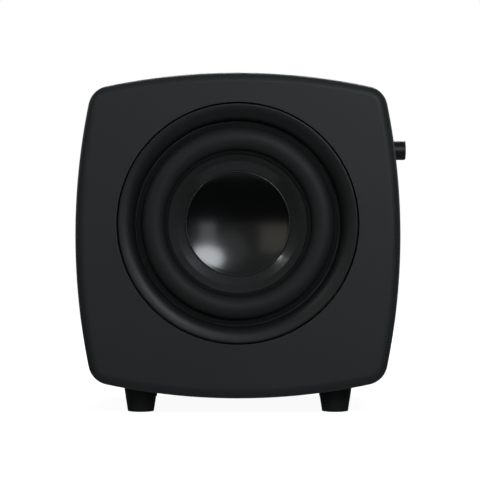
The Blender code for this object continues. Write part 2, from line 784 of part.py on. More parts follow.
def make_mains_inlet(frame):
    """Three-pin appliance inlet: a flange outside the panel, a socket cavity and its blades."""
    x, y = INLET_MIDDLE
    flange_depth = FITTING_FACE + 0.0020
    inlet = prism("mains_inlet", rounded_rectangle(0.0330, 0.0255, 0.003), -flange_depth, -FITTING_FACE)
    body = box("inlet_body", (*INLET_BODY, 0.0250), (0.0, 0.0, -FITTING_FACE + 0.0115))
    cavity = box("inlet_cavity", (0.0240, 0.0165, 0.0200), (0.0, 0.0, -FITTING_FACE + 0.0060))
    join(inlet, place(body, frame, (x, y, 0.0)))
    cut(inlet, place(cavity, frame, (x, y, 0.0)))
    for blade_x, blade_y in ((0.0, 0.0035), (-0.0070, -0.0035), (0.0070, -0.0035)):
        blade = box("inlet_blade", (0.0020, 0.0040, 0.0160), (blade_x, blade_y, -FITTING_FACE + 0.0085))
        join(inlet, place(blade, frame, (x, y, 0.0)))
    dress(place(inlet, frame, (x, y, 0.0)), GLOSS_BLACK, 0.35)


def make_power_switch(frame):
    x, y = SWITCH_MIDDLE
    flange = rounded_rectangle(0.0165, 0.0225, 0.0015)
    housing = prism("power_switch_housing", flange, -FITTING_FACE - 0.0018, -FITTING_FACE)
    body = box("switch_body", (*SWITCH_BODY, 0.0170), (0.0, 0.0, -FITTING_FACE + 0.0080))
    cavity = box("switch_cavity", (0.0108, 0.0168, 0.0120), (0.0, 0.0, -FITTING_FACE))
    join(housing, place(body, frame, (x, y, 0.0)))
    cut(housing, place(cavity, frame, (x, y, 0.0)))
    dress(place(housing, frame, (x, y, 0.0)), GLOSS_BLACK, 0.35)

    pivot = empty("power_pivot", frame, (x, y, -FITTING_FACE + 0.0012), (math.radians(10), 0.0, 0.0))
    half = 0.0074
    outline = [
        (half, -0.0055),
        (0.0, -0.0042),
        (-half, -0.0055),
        (-half, -0.0010),
        (-0.0035, 0.0030),
        (0.0035, 0.0030),
        (half, -0.0010),
    ]
    rocker = prism("power_rocker", outline, -0.0050, 0.0050)
    place(rocker, pivot, rotation=(math.pi / 2, 0.0, math.pi / 2))
    dress(rocker, GLOSS_BLACK, 0.25)


def make_line_jacks(frame):
    profile = [
        (0.0, 0.2860),
        (0.0046, 0.2860),
        (0.0046, FITTING_FACE),
        (0.0066, FITTING_FACE),
        (0.0066, FITTING_FACE + 0.0014),
        (0.0042, FITTING_FACE + 0.0014),
        (0.0042, 0.3085),
        (0.0017, 0.3085),
        (0.0017, 0.3000),
        (0.0, 0.3000),
    ]
    for name, (x, y) in zip(("line_jack_left", "line_jack_right"), LINE_JACKS):
        jack = turned_by_depth(name, profile, 16, closed=False)
        dress(place(jack, frame, (x, y, 0.0)), STEEL, 0.3, 1.0)


def make_crossover(frame):
    """Crossover control: a potentiometer with its bushing through the panel, and a knob with its spindle."""
    x, y = CROSSOVER_AXIS
    pot = [
        (0.0031, 0.2860),
        (0.0085, 0.2860),
        (0.0085, REAR_PANEL_FACE - 0.0010),
        (0.0036, REAR_PANEL_FACE - 0.0010),
        (0.0036, 0.3020),
        (0.0031, 0.3020),
    ]
    dress(place(turned_by_depth("crossover_pot", pot, 16), frame, (x, y, 0.0)), STEEL, 0.4, 0.9)
    knob = [
        (0.0, 0.2880),
        (0.0028, 0.2880),
        (0.0028, 0.3030),
        (0.0060, 0.3030),
        (0.0060, FITTING_FACE + 0.0015),
        (0.0088, FITTING_FACE + 0.0015),
        (0.0082, REAR_LIMIT - 0.0006),
        (0.0074, REAR_LIMIT),
        (0.0, REAR_LIMIT),
    ]
    made = place(turned_by_depth("crossover_knob", knob, 20, closed=False), frame, (x, y, 0.0))
    mark = box("crossover_mark", (0.0010, 0.0040, 0.0016), (0.0, 0.0055, -REAR_LIMIT))
    cut(made, place(mark, frame, (x, y, 0.0)))
    dress(made, SATIN_BLACK, 0.4)


def make_phase_switch(frame):
    x, y = PHASE_MIDDLE
    body = box("phase_switch_body", (*PHASE_BODY, 0.0130), (0.0, 0.0, -FITTING_FACE + 0.0060))
    flange = box("phase_flange", (0.0180, 0.0100, 0.0012), (0.0, 0.0, -FITTING_FACE - 0.0006))
    pocket = box("phase_pocket", (0.0100, 0.0046, 0.0080), (0.0, 0.0, -FITTING_FACE))
    join(body, place(flange, frame, (x, y, 0.0)))
    cut(body, place(pocket, frame, (x, y, 0.0)))
    dress(place(body, frame, (x, y, 0.0)), STEEL, 0.4, 0.9)
    slider = box("phase_slider", (0.0046, 0.0038, 0.0072), (-0.0022, 0.0, -FITTING_FACE - 0.0001))
    dress(place(slider, frame, (x, y, 0.0)), GLOSS_BLACK, 0.4)


def make_speaker_lead(frame):
    """Two-core lead from the amplifier board to the driver's terminals, through the brace's window."""
    route = [
        (-0.030, 0.020, -BOARD_DEPTH + 0.0010),
        (-0.036, 0.014, -0.235),
        (-0.052, -0.008, -0.200),
        (-0.072, -0.014, -0.160),
        (-0.086, -0.008, -0.120),
        (-0.0960, 0.004, -0.082),
        (-0.0985, 0.0110, -0.0560),
    ]
    dress(place(wire("speaker_lead", route, 0.0020, 4), frame), WIRE_RED, 0.5)


# --------------------------------------------------------------------------------------------------
# Side knob
# --------------------------------------------------------------------------------------------------


def knob_root():
    """Where the level knob's axis leaves the cabinet's side, in cabinet_frame."""
    return (side_height_to_x(KNOB_RISE), KNOB_RISE, -KNOB_DEPTH)


def knob_direction():
    """Rotation that turns local Z to point out of the right-hand side."""
    return (0.0, math.pi / 2, 0.0)


def make_level_control(frame):
    lean = math.asin(KNOB_RISE / SIDE_BOW_RADIUS)
    bezel = tube_ring("level_bezel", 0.0046, 0.0108, GAP, GAP + 0.0010, KNOB_SEGMENTS)
    place(bezel, frame, knob_root(), (0.0, math.pi / 2, lean))
    dress(bezel, (0.12, 0.12, 0.12), 0.35, 0.5)

    pot = [
        (0.0029, -0.0125),
        (0.0085, -0.0125),
        (0.0085, -0.0060),
        (0.0036, -0.0060),
        (0.0036, 0.0040),
        (0.0029, 0.0040),
    ]
    dress(place(turned("level_pot", pot, 16), frame, knob_root(), knob_direction()), STEEL, 0.4, 0.9)

    end = KNOB_END - knob_root()[0]
    skirt = 0.0032
    knob = [
        (0.0, -0.0110),
        (0.0026, -0.0110),
        (0.0026, 0.0050),
        (0.0060, 0.0050),
        (0.0060, skirt),
        (KNOB_RADIUS, skirt),
        (KNOB_RADIUS, end - 0.0012),
        (KNOB_RADIUS - 0.0010, end - 0.0003),
        (0.0, end),
    ]
    made = turned("level_knob", knob, KNOB_SEGMENTS, closed=False)
    place(made, frame, knob_root(), knob_direction())
    mark = box("level_mark", (0.0010, 0.0016, 0.0140), (0.0, KNOB_RADIUS, end - 0.0060))
    pointer_turn = math.radians(-90)
    cut(made, place(mark, made, rotation=(0.0, 0.0, pointer_turn)))
    dress(smooth(made), RUBBER_BLACK, 0.4)


# --------------------------------------------------------------------------------------------------
# Feet
# --------------------------------------------------------------------------------------------------


def foot_places():
    """Foot axes in floor_frame: front left, front right, rear left, rear right."""
    rear = CABINET_DEPTH - FOOT_INSET
    front_pair = [(-FRONT_FOOT_SPREAD, FOOT_INSET), (FRONT_FOOT_SPREAD, FOOT_INSET)]
    rear_pair = [(-REAR_FOOT_SPREAD, rear), (REAR_FOOT_SPREAD, rear)]
    return front_pair + rear_pair


def make_feet(frame, floor_frame):
    """Tapered feet, each with a rubber pad in its base and a screw up into the cabinet."""
    pad_height = 0.0027
    base = 0.0004
    top = 0.0330
    profile = [
        (0.0024, top),
        (FOOT_BOTTOM_RADIUS + FOOT_TAPER * top, top),
        (FOOT_BOTTOM_RADIUS + 0.0004 * FOOT_TAPER, base + 0.0004),
        (FOOT_BOTTOM_RADIUS - 0.0003, base),
        (0.0105, base),
        (0.0105, pad_height + GAP),
        (0.0050, pad_height + GAP),
        (0.0050, 0.0080),
        (0.0024, 0.0080),
    ]
    names = ("front_left", "front_right", "rear_left", "rear_right")
    for name, (x, y) in zip(names, foot_places()):
        foot = place(turned("foot_" + name, profile, FOOT_SEGMENTS), floor_frame, (x, y, 0.0))
        envelope = prism("cabinet_envelope", cabinet_outline(-GAP), -CABINET_DEPTH, 0.0)
        cut(foot, place(envelope, frame))
        dress(foot, RUBBER_BLACK, 0.5)
        pad = turned(
            "foot_pad_" + name,
            [(0.0, pad_height), (0.0102, pad_height), (0.0102, 0.0006), (0.0096, 0.0), (0.0, 0.0)],
            FOOT_SEGMENTS,
            closed=False,
        )
        dress(place(pad, floor_frame, (x, y, 0.0)), RUBBER_BLACK, 0.9)
        screw = pan_head_screw("foot_screw_" + name, 0.0042, 0.0026, 0.0019, 0.0260)
        dress(place(screw, floor_frame, (x, y, 0.0080 - GAP), (math.pi, 0.0, 0.0)), STEEL, 0.35, 1.0)


# --------------------------------------------------------------------------------------------------


def main():
    frame = empty("cabinet_frame", location=(CABINET_X, FRONT_Y, CABINET_Z), rotation=(Y_TO_UP, 0.0, 0.0))
    floor_frame = empty("floor_frame", location=(CABINET_X, FRONT_Y, 0.0))
    driver_frame = empty("driver_frame", frame, (0.0, DRIVER_RISE, 0.0))
    travel = empty("cone_travel", driver_frame)

    make_cabinet_shell(frame, floor_frame)
    make_baffle_board(frame)
    make_rear_panel(frame)
    make_window_brace(frame)
    make_damping_sheets(frame)

    make_trim_ring(driver_frame)
    make_basket(driver_frame)
    make_gasket(driver_frame)
    make_surround(driver_frame)
    make_cone(travel)
    make_dust_cap(travel)
    make_motor(driver_frame, travel)
    make_spider(driver_frame)
    make_terminals(driver_frame)
    make_driver_screws(driver_frame)

    make_amp_panel(frame)
    make_heat_sink(frame)
    make_amp_board(frame)
    make_mains_inlet(frame)
    make_power_switch(frame)
    make_line_jacks(frame)
    make_crossover(frame)
    make_phase_switch(frame)
    make_speaker_lead(frame)

    make_level_control(frame)
    make_feet(frame, floor_frame)


clear_scene()
PARTS = new_collection("subwoofer")
CUTTERS = new_collection("cutters")
main()
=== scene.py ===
"""Looks of a compact powered subwoofer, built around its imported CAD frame.

Metres, +Z up. The driver faces -Y, the level knob is on +X and the amplifier panel is on +Y. Places come
from the CAD nodes' own boxes. A depth is measured back from the cabinet's front face.
"""

import json
import logging
import math
from dataclasses import dataclass, field
from enum import Enum
from typing import Callable, Iterable, Sequence

import bmesh
import bpy
from mathutils import Matrix, Vector


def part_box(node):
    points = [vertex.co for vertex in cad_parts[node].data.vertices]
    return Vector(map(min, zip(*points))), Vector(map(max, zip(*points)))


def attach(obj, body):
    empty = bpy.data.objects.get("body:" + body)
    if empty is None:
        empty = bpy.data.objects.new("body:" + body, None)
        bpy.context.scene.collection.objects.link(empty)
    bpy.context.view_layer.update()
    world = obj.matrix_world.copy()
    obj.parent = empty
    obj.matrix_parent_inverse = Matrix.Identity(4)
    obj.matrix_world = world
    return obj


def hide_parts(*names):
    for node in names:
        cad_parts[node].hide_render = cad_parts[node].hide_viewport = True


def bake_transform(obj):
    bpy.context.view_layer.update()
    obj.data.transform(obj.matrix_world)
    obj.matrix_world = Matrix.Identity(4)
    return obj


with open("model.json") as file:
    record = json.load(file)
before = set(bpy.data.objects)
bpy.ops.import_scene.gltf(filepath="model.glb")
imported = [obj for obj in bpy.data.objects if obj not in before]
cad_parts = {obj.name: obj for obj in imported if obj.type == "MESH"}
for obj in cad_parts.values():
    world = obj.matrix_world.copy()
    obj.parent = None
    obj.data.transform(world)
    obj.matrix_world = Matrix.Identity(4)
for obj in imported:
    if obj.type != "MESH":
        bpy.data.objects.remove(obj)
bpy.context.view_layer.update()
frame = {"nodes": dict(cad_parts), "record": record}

LOG = logging.getLogger("subwoofer")
TINY = 1e-6  # two places nearer than this are the same
HAIR = 1e-4  # slack when faces and edges are picked by their place

Point2 = tuple[float, float]
NodeInput = bpy.types.NodeSocket | float | tuple


# ----------------------------------------------------------------------------------------------------
# Modelling
# ----------------------------------------------------------------------------------------------------


class Part(Enum):
    """What a selection in edit mode is made of."""

    VERTEX = "VERT"
    EDGE = "EDGE"
    FACE = "FACE"


@dataclass(frozen=True)
class Axis:
    """A line to turn or build about, with the direction that counts as straight out from it."""

    origin: Vector
    along: Vector
    out: Vector

    def place(self, radius: float, height: float) -> Vector:
        """Gives the point at this radius, in the out direction, and this height along the axis."""
        return self.origin + self.out * radius + self.along * height

    def radius_of(self, point: Vector) -> float:
        """Gives a point's distance from the axis."""
        offset = point - self.origin
        return (offset - self.along * offset.dot(self.along)).length

    def turned(self, degrees: float) -> "Axis":
        """Gives the same line with its out direction turned about it.

        Args:
            degrees: how far to turn, right-handed about the axis.

        Returns:
            The new axis.
        """
        turn = Matrix.Rotation(math.radians(degrees), 3, self.along)
        return Axis(self.origin, self.along, turn @ self.out)


def show_only(piece: bpy.types.Object) -> None:
    """Makes one object the only selected and the active one.

    Args:
        piece: the object.
    """
    bpy.ops.object.select_all(action="DESELECT")
    piece.select_set(True)
    bpy.context.view_layer.objects.active = piece


class Workpiece:
    """One mesh that is being modelled with Blender's own tools, with its place in its mesh."""

    def __init__(self, name: str) -> None:
        """Takes over the object that a primitive operator has just added.

        Args:
            name: the name for the object and its mesh.
        """
        self.object: bpy.types.Object = bpy.context.object
        self.object.name = name
        self.object.data.name = name
        show_only(self.object)
        bpy.ops.object.transform_apply(location=True, rotation=True, scale=True)

    @classmethod
    def block(cls, name: str, size: Sequence[float], centre: Sequence[float]) -> "Workpiece":
        """Starts from a box.

        Args:
            name: the piece's name.
            size: its three sizes.
            centre: its middle.

        Returns:
            The workpiece.
        """
        bpy.ops.mesh.primitive_cube_add(size=1.0, location=centre, scale=size)
        return cls(name)

    @classmethod
    def bar(
        cls, name: str, axis: Axis, radius: float, low: float, high: float, sides: int = 64
    ) -> "Workpiece":
        """Starts from a round bar about an axis.

        Args:
            name: the piece's name.
            axis: the bar's axis.
            radius: its radius.
            low: where it begins along the axis.
            high: where it ends.
            sides: its number of sides.

        Returns:
            The workpiece.
        """
        turn = axis.along.to_track_quat("Z", "Y").to_euler()
        middle = axis.place(0.0, (low + high) / 2)
        bpy.ops.mesh.primitive_cylinder_add(
            vertices=sides, radius=radius, depth=high - low, location=middle, rotation=turn
        )
        return cls(name)

    @classmethod
    def plate(cls, name: str, outline: Sequence[Vector], thickness: Sequence[float]) -> "Workpiece":
        """Starts from a filled circle, moves its rim to an outline and extrudes it.

        Args:
            name: the piece's name.
            outline: the rim's points, in order.
            thickness: the extrusion, from the outline.

        Returns:
            The workpiece.
        """
        bpy.ops.mesh.primitive_circle_add(vertices=len(outline), radius=1.0, fill_type="NGON")
        made = cls(name)
        for vertex, point in zip(made.object.data.vertices, outline):
            vertex.co = point
        made.pick(Part.FACE, lambda face: True)
        bpy.ops.mesh.extrude_region_move(TRANSFORM_OT_translate={"value": tuple(thickness)})
        return made.outward()

    @classmethod
    def turned(
        cls, name: str, axis: Axis, profile: Sequence[Point2], steps: int = 96, closed: bool = True
    ) -> "Workpiece":
        """Draws a profile point by point and spins it about an axis.

        Args:
            name: the piece's name.
            axis: the axis to spin about.
            profile: its (radius, height) points.
            steps: how many steps a full turn has.
            closed: whether the last point joins the first; an open profile has its ends on the axis.

        Returns:
            The workpiece.
        """
        points = [axis.place(radius, height) for radius, height in profile]
        bpy.ops.mesh.primitive_plane_add(size=0.01)
        made = cls(name)
        made.pick(Part.VERTEX, lambda vertex: True)
        bpy.ops.mesh.merge(type="CENTER")
        bpy.ops.transform.translate(value=points[0])
        for before, after in zip(points, points[1:]):
            bpy.ops.mesh.extrude_vertices_move(TRANSFORM_OT_translate={"value": after - before})
        if closed:
            bpy.ops.mesh.extrude_vertices_move(TRANSFORM_OT_translate={"value": points[0] - points[-1]})
        bpy.ops.mesh.select_all(action="SELECT")
        bpy.ops.mesh.remove_doubles(threshold=TINY)
        bpy.ops.mesh.spin(steps=steps, angle=math.tau, center=axis.origin, axis=axis.along)
        return made.outward()

    @classmethod
    def wire(cls, name: str, route: Sequence[Vector], radius: float, sides: int = 3) -> "Workpiece":
        """Makes a round wire along points.

        Args:
            name: the piece's name.
            route: the points of its middle line.
            radius: its radius.
            sides: the bevel resolution, which gives the roundness.

        Returns:
            The workpiece.
        """
        curve = bpy.data.curves.new(name, "CURVE")
        curve.dimensions = "3D"
        curve.bevel_depth = radius
        curve.bevel_resolution = sides
        curve.use_fill_caps = True
        curve.resolution_u = 6
        spline = curve.splines.new("BEZIER")
        spline.bezier_points.add(len(route) - 1)
        for knot, point in zip(spline.bezier_points, route):
            knot.co = point
            knot.handle_left_type = "AUTO"
            knot.handle_right_type = "AUTO"
        made = bpy.data.objects.new(name, curve)
        bpy.context.scene.collection.objects.link(made)
        show_only(made)
        bpy.ops.object.convert(target="MESH")
        return cls(name)

    def pick(self, part: Part, test: Callable[[object], bool]) -> "Workpiece":
        """Opens the piece for editing and selects what passes a test.

        Args:
            part: what to select.
            test: takes a vertex, edge or face and says whether it is wanted.

        Returns:
            This workpiece.
        """
        if self.object.mode != "EDIT":
            show_only(self.object)
            bpy.ops.object.mode_set(mode="EDIT")
        bpy.ops.mesh.select_mode(type=part.value)
        bpy.ops.mesh.select_all(action="DESELECT")
        edit = bmesh.from_edit_mesh(self.object.data)
        edit.normal_update()
        items = {Part.VERTEX: edit.verts, Part.EDGE: edit.edges, Part.FACE: edit.faces}[part]
        for item in items:
            if test(item):
                item.select_set(True)
        bmesh.update_edit_mesh(self.object.data)
        return self

    def done(self) -> "Workpiece":
        """Closes the piece after editing.

        Returns:
            This workpiece.
        """
        if self.object.mode == "EDIT":
            bpy.ops.object.mode_set(mode="OBJECT")
        return self

    def outward(self) -> "Workpiece":
        """Merges doubled points and turns every face outwards.

        Returns:
            This workpiece.
        """
        self.pick(Part.VERTEX, lambda vertex: True)
        bpy.ops.mesh.remove_doubles(threshold=TINY)
        bpy.ops.mesh.normals_make_consistent(inside=False)
        return self.done()

    def move(self, shift: Sequence[float]) -> "Workpiece":
        """Moves what is selected, and closes the piece."""
        bpy.ops.transform.translate(value=tuple(shift))
        return self.done()

    def extrude(self, shift: Sequence[float]) -> "Workpiece":
        """Extrudes the selected faces by a shift, and closes the piece."""
        bpy.ops.mesh.extrude_region_move(TRANSFORM_OT_translate={"value": tuple(shift)})
        return self.done()

    def inset(self, thickness: float) -> "Workpiece":
        """Insets the selected faces, which stay selected while the piece is open."""
        bpy.ops.mesh.inset(thickness=thickness, depth=0.0)
        return self

    def bevel(self, width: float, segments: int = 3) -> "Workpiece":
        """Rounds the selected edges, and closes the piece.

        Args:
            width: how wide the rounding is.
            segments: how many faces it has across.

        Returns:
            This workpiece.
        """
        bpy.ops.mesh.bevel(
            offset=width,
            offset_type="OFFSET",
            segments=segments,
            profile=0.5,
            affect="EDGES",
            clamp_overlap=False,
        )
        return self.done()

    def soften(self, width: float, segments: int = 2, degrees: float = 40.0) -> "Workpiece":
        """Rounds every sharp edge with a bevel modifier.

        Args:
            width: how wide the rounding is.
            segments: how many faces it has across.
            degrees: how sharp an edge has to be.

        Returns:
            This workpiece.
        """
        bevel = self.object.modifiers.new("soften", "BEVEL")
        bevel.width = width
        bevel.segments = segments
        bevel.limit_method = "ANGLE"
        bevel.angle_limit = math.radians(degrees)
        bevel.use_clamp_overlap = True
        return self.apply(bevel)

    def apply(self, modifier: bpy.types.Modifier) -> "Workpiece":
        """Applies a modifier to the mesh.

        Args:
            modifier: the modifier.

        Returns:
            This workpiece.
        """
        self.done()
        show_only(self.object)
        bpy.ops.object.modifier_apply(modifier=modifier.name)
        return self

    def combine(self, other: "Workpiece", operation: str) -> "Workpiece":
        """Cuts another piece out of this one, or fuses it in, and uses the other piece up.

        Args:
            other: the other piece.
            operation: DIFFERENCE or UNION.

        Returns:
            This workpiece.
        """
        self.done()
        other.done()
        boolean = self.object.modifiers.new("combine", "BOOLEAN")
        boolean.operation = operation
        boolean.solver = "EXACT"
        boolean.object = other.object
        self.apply(boolean)
        bpy.data.objects.remove(other.object, do_unlink=True)
        return self

    def cut(self, *others: "Workpiece") -> "Workpiece":
        """Cuts other pieces out of this one.

        Args:
            others: the other pieces.

        Returns:
            This workpiece.
        """
        for other in others:
            self.combine(other, "DIFFERENCE")
        return self

    def fuse(self, *others: "Workpiece") -> "Workpiece":
        """Fuses other pieces into this one.

        Args:
            others: the other pieces.

        Returns:
            This workpiece.
        """
        for other in others:
            self.combine(other, "UNION")
        return self

    def add(self, *others: "Workpiece") -> "Workpiece":
        """Joins other pieces to this object as loose parts, which keep their materials.

        Args:
            others: the other pieces.

        Returns:
            This workpiece.
        """
        self.done()
        show_only(self.object)
        for other in others:
            other.object.select_set(True)
        bpy.ops.object.join()
        return self

    def copied(self, name: str, shift: Sequence[float] = (0.0, 0.0, 0.0)) -> "Workpiece":
        """Copies the piece with a mesh of its own.

        Args:
            name: the copy's name.
            shift: how far the copy is moved.

        Returns:
            The copy.
        """
        self.done()
        show_only(self.object)
        bpy.ops.object.duplicate(linked=False)
        bpy.context.object.location = shift
        return Workpiece(name)

    def turn_about(self, axis: Axis, degrees: float) -> "Workpiece":
        """Turns the whole mesh about an axis.

        Args:
            axis: the axis to turn about.
            degrees: how far, right-handed.

        Returns:
            This workpiece.
        """
        self.done()
        there = Matrix.Translation(axis.origin)
        turn = Matrix.Rotation(math.radians(degrees), 4, axis.along)
        self.object.data.transform(there @ turn @ there.inverted())
        return self

    def shift(self, by: Sequence[float]) -> "Workpiece":
        """Moves the whole mesh.

        Args:
            by: how far, along the three axes.

        Returns:
            This workpiece.
        """
        self.done()
        self.object.data.transform(Matrix.Translation(by))
        return self

    def shade(self, degrees: float = 35.0, weighted: bool = False) -> "Workpiece":
        """Shades the piece smooth below an angle.

        Args:
            degrees: the angle from which an edge stays sharp.
            weighted: whether large flat faces keep their own normals.

        Returns:
            This workpiece.
        """
        self.done()
        show_only(self.object)
        bpy.ops.object.shade_smooth_by_angle(angle=math.radians(degrees))
        if weighted:
            modifier = self.object.modifiers.new("flat faces", "WEIGHTED_NORMAL")
            modifier.keep_sharp = True
            self.apply(modifier)
        return self

    def paint(self, finish: bpy.types.Material) -> "Workpiece":
        """Gives the whole piece one material.

        Args:
            finish: the material.

        Returns:
            This workpiece.
        """
        self.done()
        self.object.data.materials.clear()
        self.object.data.materials.append(finish)
        return self

    def paint_part(self, finish: bpy.types.Material, test: Callable[[Vector], bool]) -> "Workpiece":
        """Gives the faces whose middles pass a test a second material.

        Args:
            finish: the material.
            test: takes a face's middle and says whether it is wanted.

        Returns:
            This workpiece.
        """
        self.done()
        self.object.data.materials.append(finish)
        index = len(self.object.data.materials) - 1
        for face in self.object.data.polygons:
            if test(face.center):
                face.material_index = index
        return self

    def fit(self, body: str, slot: str, *nodes: str) -> bpy.types.Object:
        """Ends the modelling: the piece rides on a body and stands for CAD nodes.

        Args:
            body: the CAD body it moves with.
            slot: the record's material slot, which is not used.
            nodes: the CAD nodes that it replaces.

        Returns:
            The finished object.
        """
        self.done()
        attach(self.object, body)
        return self.settle(slot, *nodes)

    def settle(self, slot: str, *nodes: str) -> bpy.types.Object:
        """Hides the CAD nodes that the piece replaces, and reports it.

        Args:
            slot: the record's material slot, which is not used.
            nodes: the CAD nodes that it replaces.

        Returns:
            The finished object.
        """
        if nodes:
            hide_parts(*nodes)
        LOG.info("%s: %d faces", self.object.name, len(self.object.data.polygons))
        return self.object


# ----------------------------------------------------------------------------------------------------
# Shader graphs
# ----------------------------------------------------------------------------------------------------


class Graph:
    """A node tree that is filled one node at a time."""

    def __init__(self, tree: bpy.types.NodeTree) -> None:
        """Takes a tree and empties it.

        Args:
            tree: the node tree.
        """
        self.tree = tree
        tree.nodes.clear()

    def add(
        self, kind: str, inputs: dict[str | int, NodeInput] | None = None, **settings: object
    ) -> bpy.types.Node:
        """Adds a node.

        Args:
            kind: the node's type name.
            inputs: its sockets by name or number, each a value or another node's output.
            settings: its own properties.

        Returns:
            The node.
        """
        node = self.tree.nodes.new(kind)
        for key, value in settings.items():
            setattr(node, key, value)
        for key, value in (inputs or {}).items():
            if isinstance(value, bpy.types.NodeSocket):
                self.tree.links.new(value, node.inputs[key])
            else:
                node.inputs[key].default_value = value
        return node

    def math(self, operation: str, *values: NodeInput) -> bpy.types.NodeSocket:
        """Adds a Math node.

        Args:
            operation: what it does.
            values: its inputs.

        Returns:
            Its output.
        """
        node = self.add("ShaderNodeMath", dict(enumerate(values)), operation=operation)
        return node.outputs[0]

    def spread(self, value: NodeInput, low: float, high: float) -> bpy.types.NodeSocket:
        """Maps a value from 0 to 1 onto a range.

        Args:
            value: the value.
            low: what 0 becomes.
            high: what 1 becomes.

        Returns:
            The mapped value.
        """
        inputs = {"Value": value, "To Min": low, "To Max": high}
        return self.add("ShaderNodeMapRange", inputs).outputs["Result"]

    def window(self, value: NodeInput, low: float, high: float) -> bpy.types.NodeSocket:
        """Maps a range of a value onto 0 to 1, clamped.

        Args:
            value: the value.
            low: what becomes 0.
            high: what becomes 1.

        Returns:
            The mapped value.
        """
        inputs = {"Value": value, "From Min": low, "From Max": high}
        return self.add("ShaderNodeMapRange", inputs).outputs["Result"]

    def noise(
        self, vector: NodeInput, scale: NodeInput, detail: float = 3.0, rough: float = 0.5
    ) -> bpy.types.NodeSocket:
        """Adds a noise texture.

        Args:
            vector: where it is read.
            scale: how many features a metre holds.
            detail: how many finer layers it has.
            rough: how strong they are.

        Returns:
            Its value, around one half.
        """
        inputs = {"Vector": vector, "Scale": scale, "Detail": detail, "Roughness": rough}
        return self.add("ShaderNodeTexNoise", inputs).outputs[0]

    def stretched(self, vector: NodeInput, scale: Sequence[float]) -> bpy.types.NodeSocket:
        """Scales a vector unevenly.

        Args:
            vector: the vector.
            scale: the three factors.

        Returns:
            The scaled vector.
        """
        inputs = {"Vector": vector, "Scale": tuple(scale)}
        return self.add("ShaderNodeMapping", inputs).outputs[0]


class Pattern(Enum):
    """The surface patterns that the finishes share."""

    LACQUER = "lacquer"
    MOULDED = "moulded grain"
    POLISHED = "polished"
    PULP = "pressed pulp"
    RUBBER = "rubber skin"
    CAST = "cast grain"
    POWDER = "powder coat"
    BRUSHED = "drawn metal"
    FIBREBOARD = "fibreboard"
    WEAVE = "open weave"
    FELT = "loose felt"
    WINDING = "wound wire"
    TAPE = "wrapped tape"
    CIRCUIT = "circuit board"


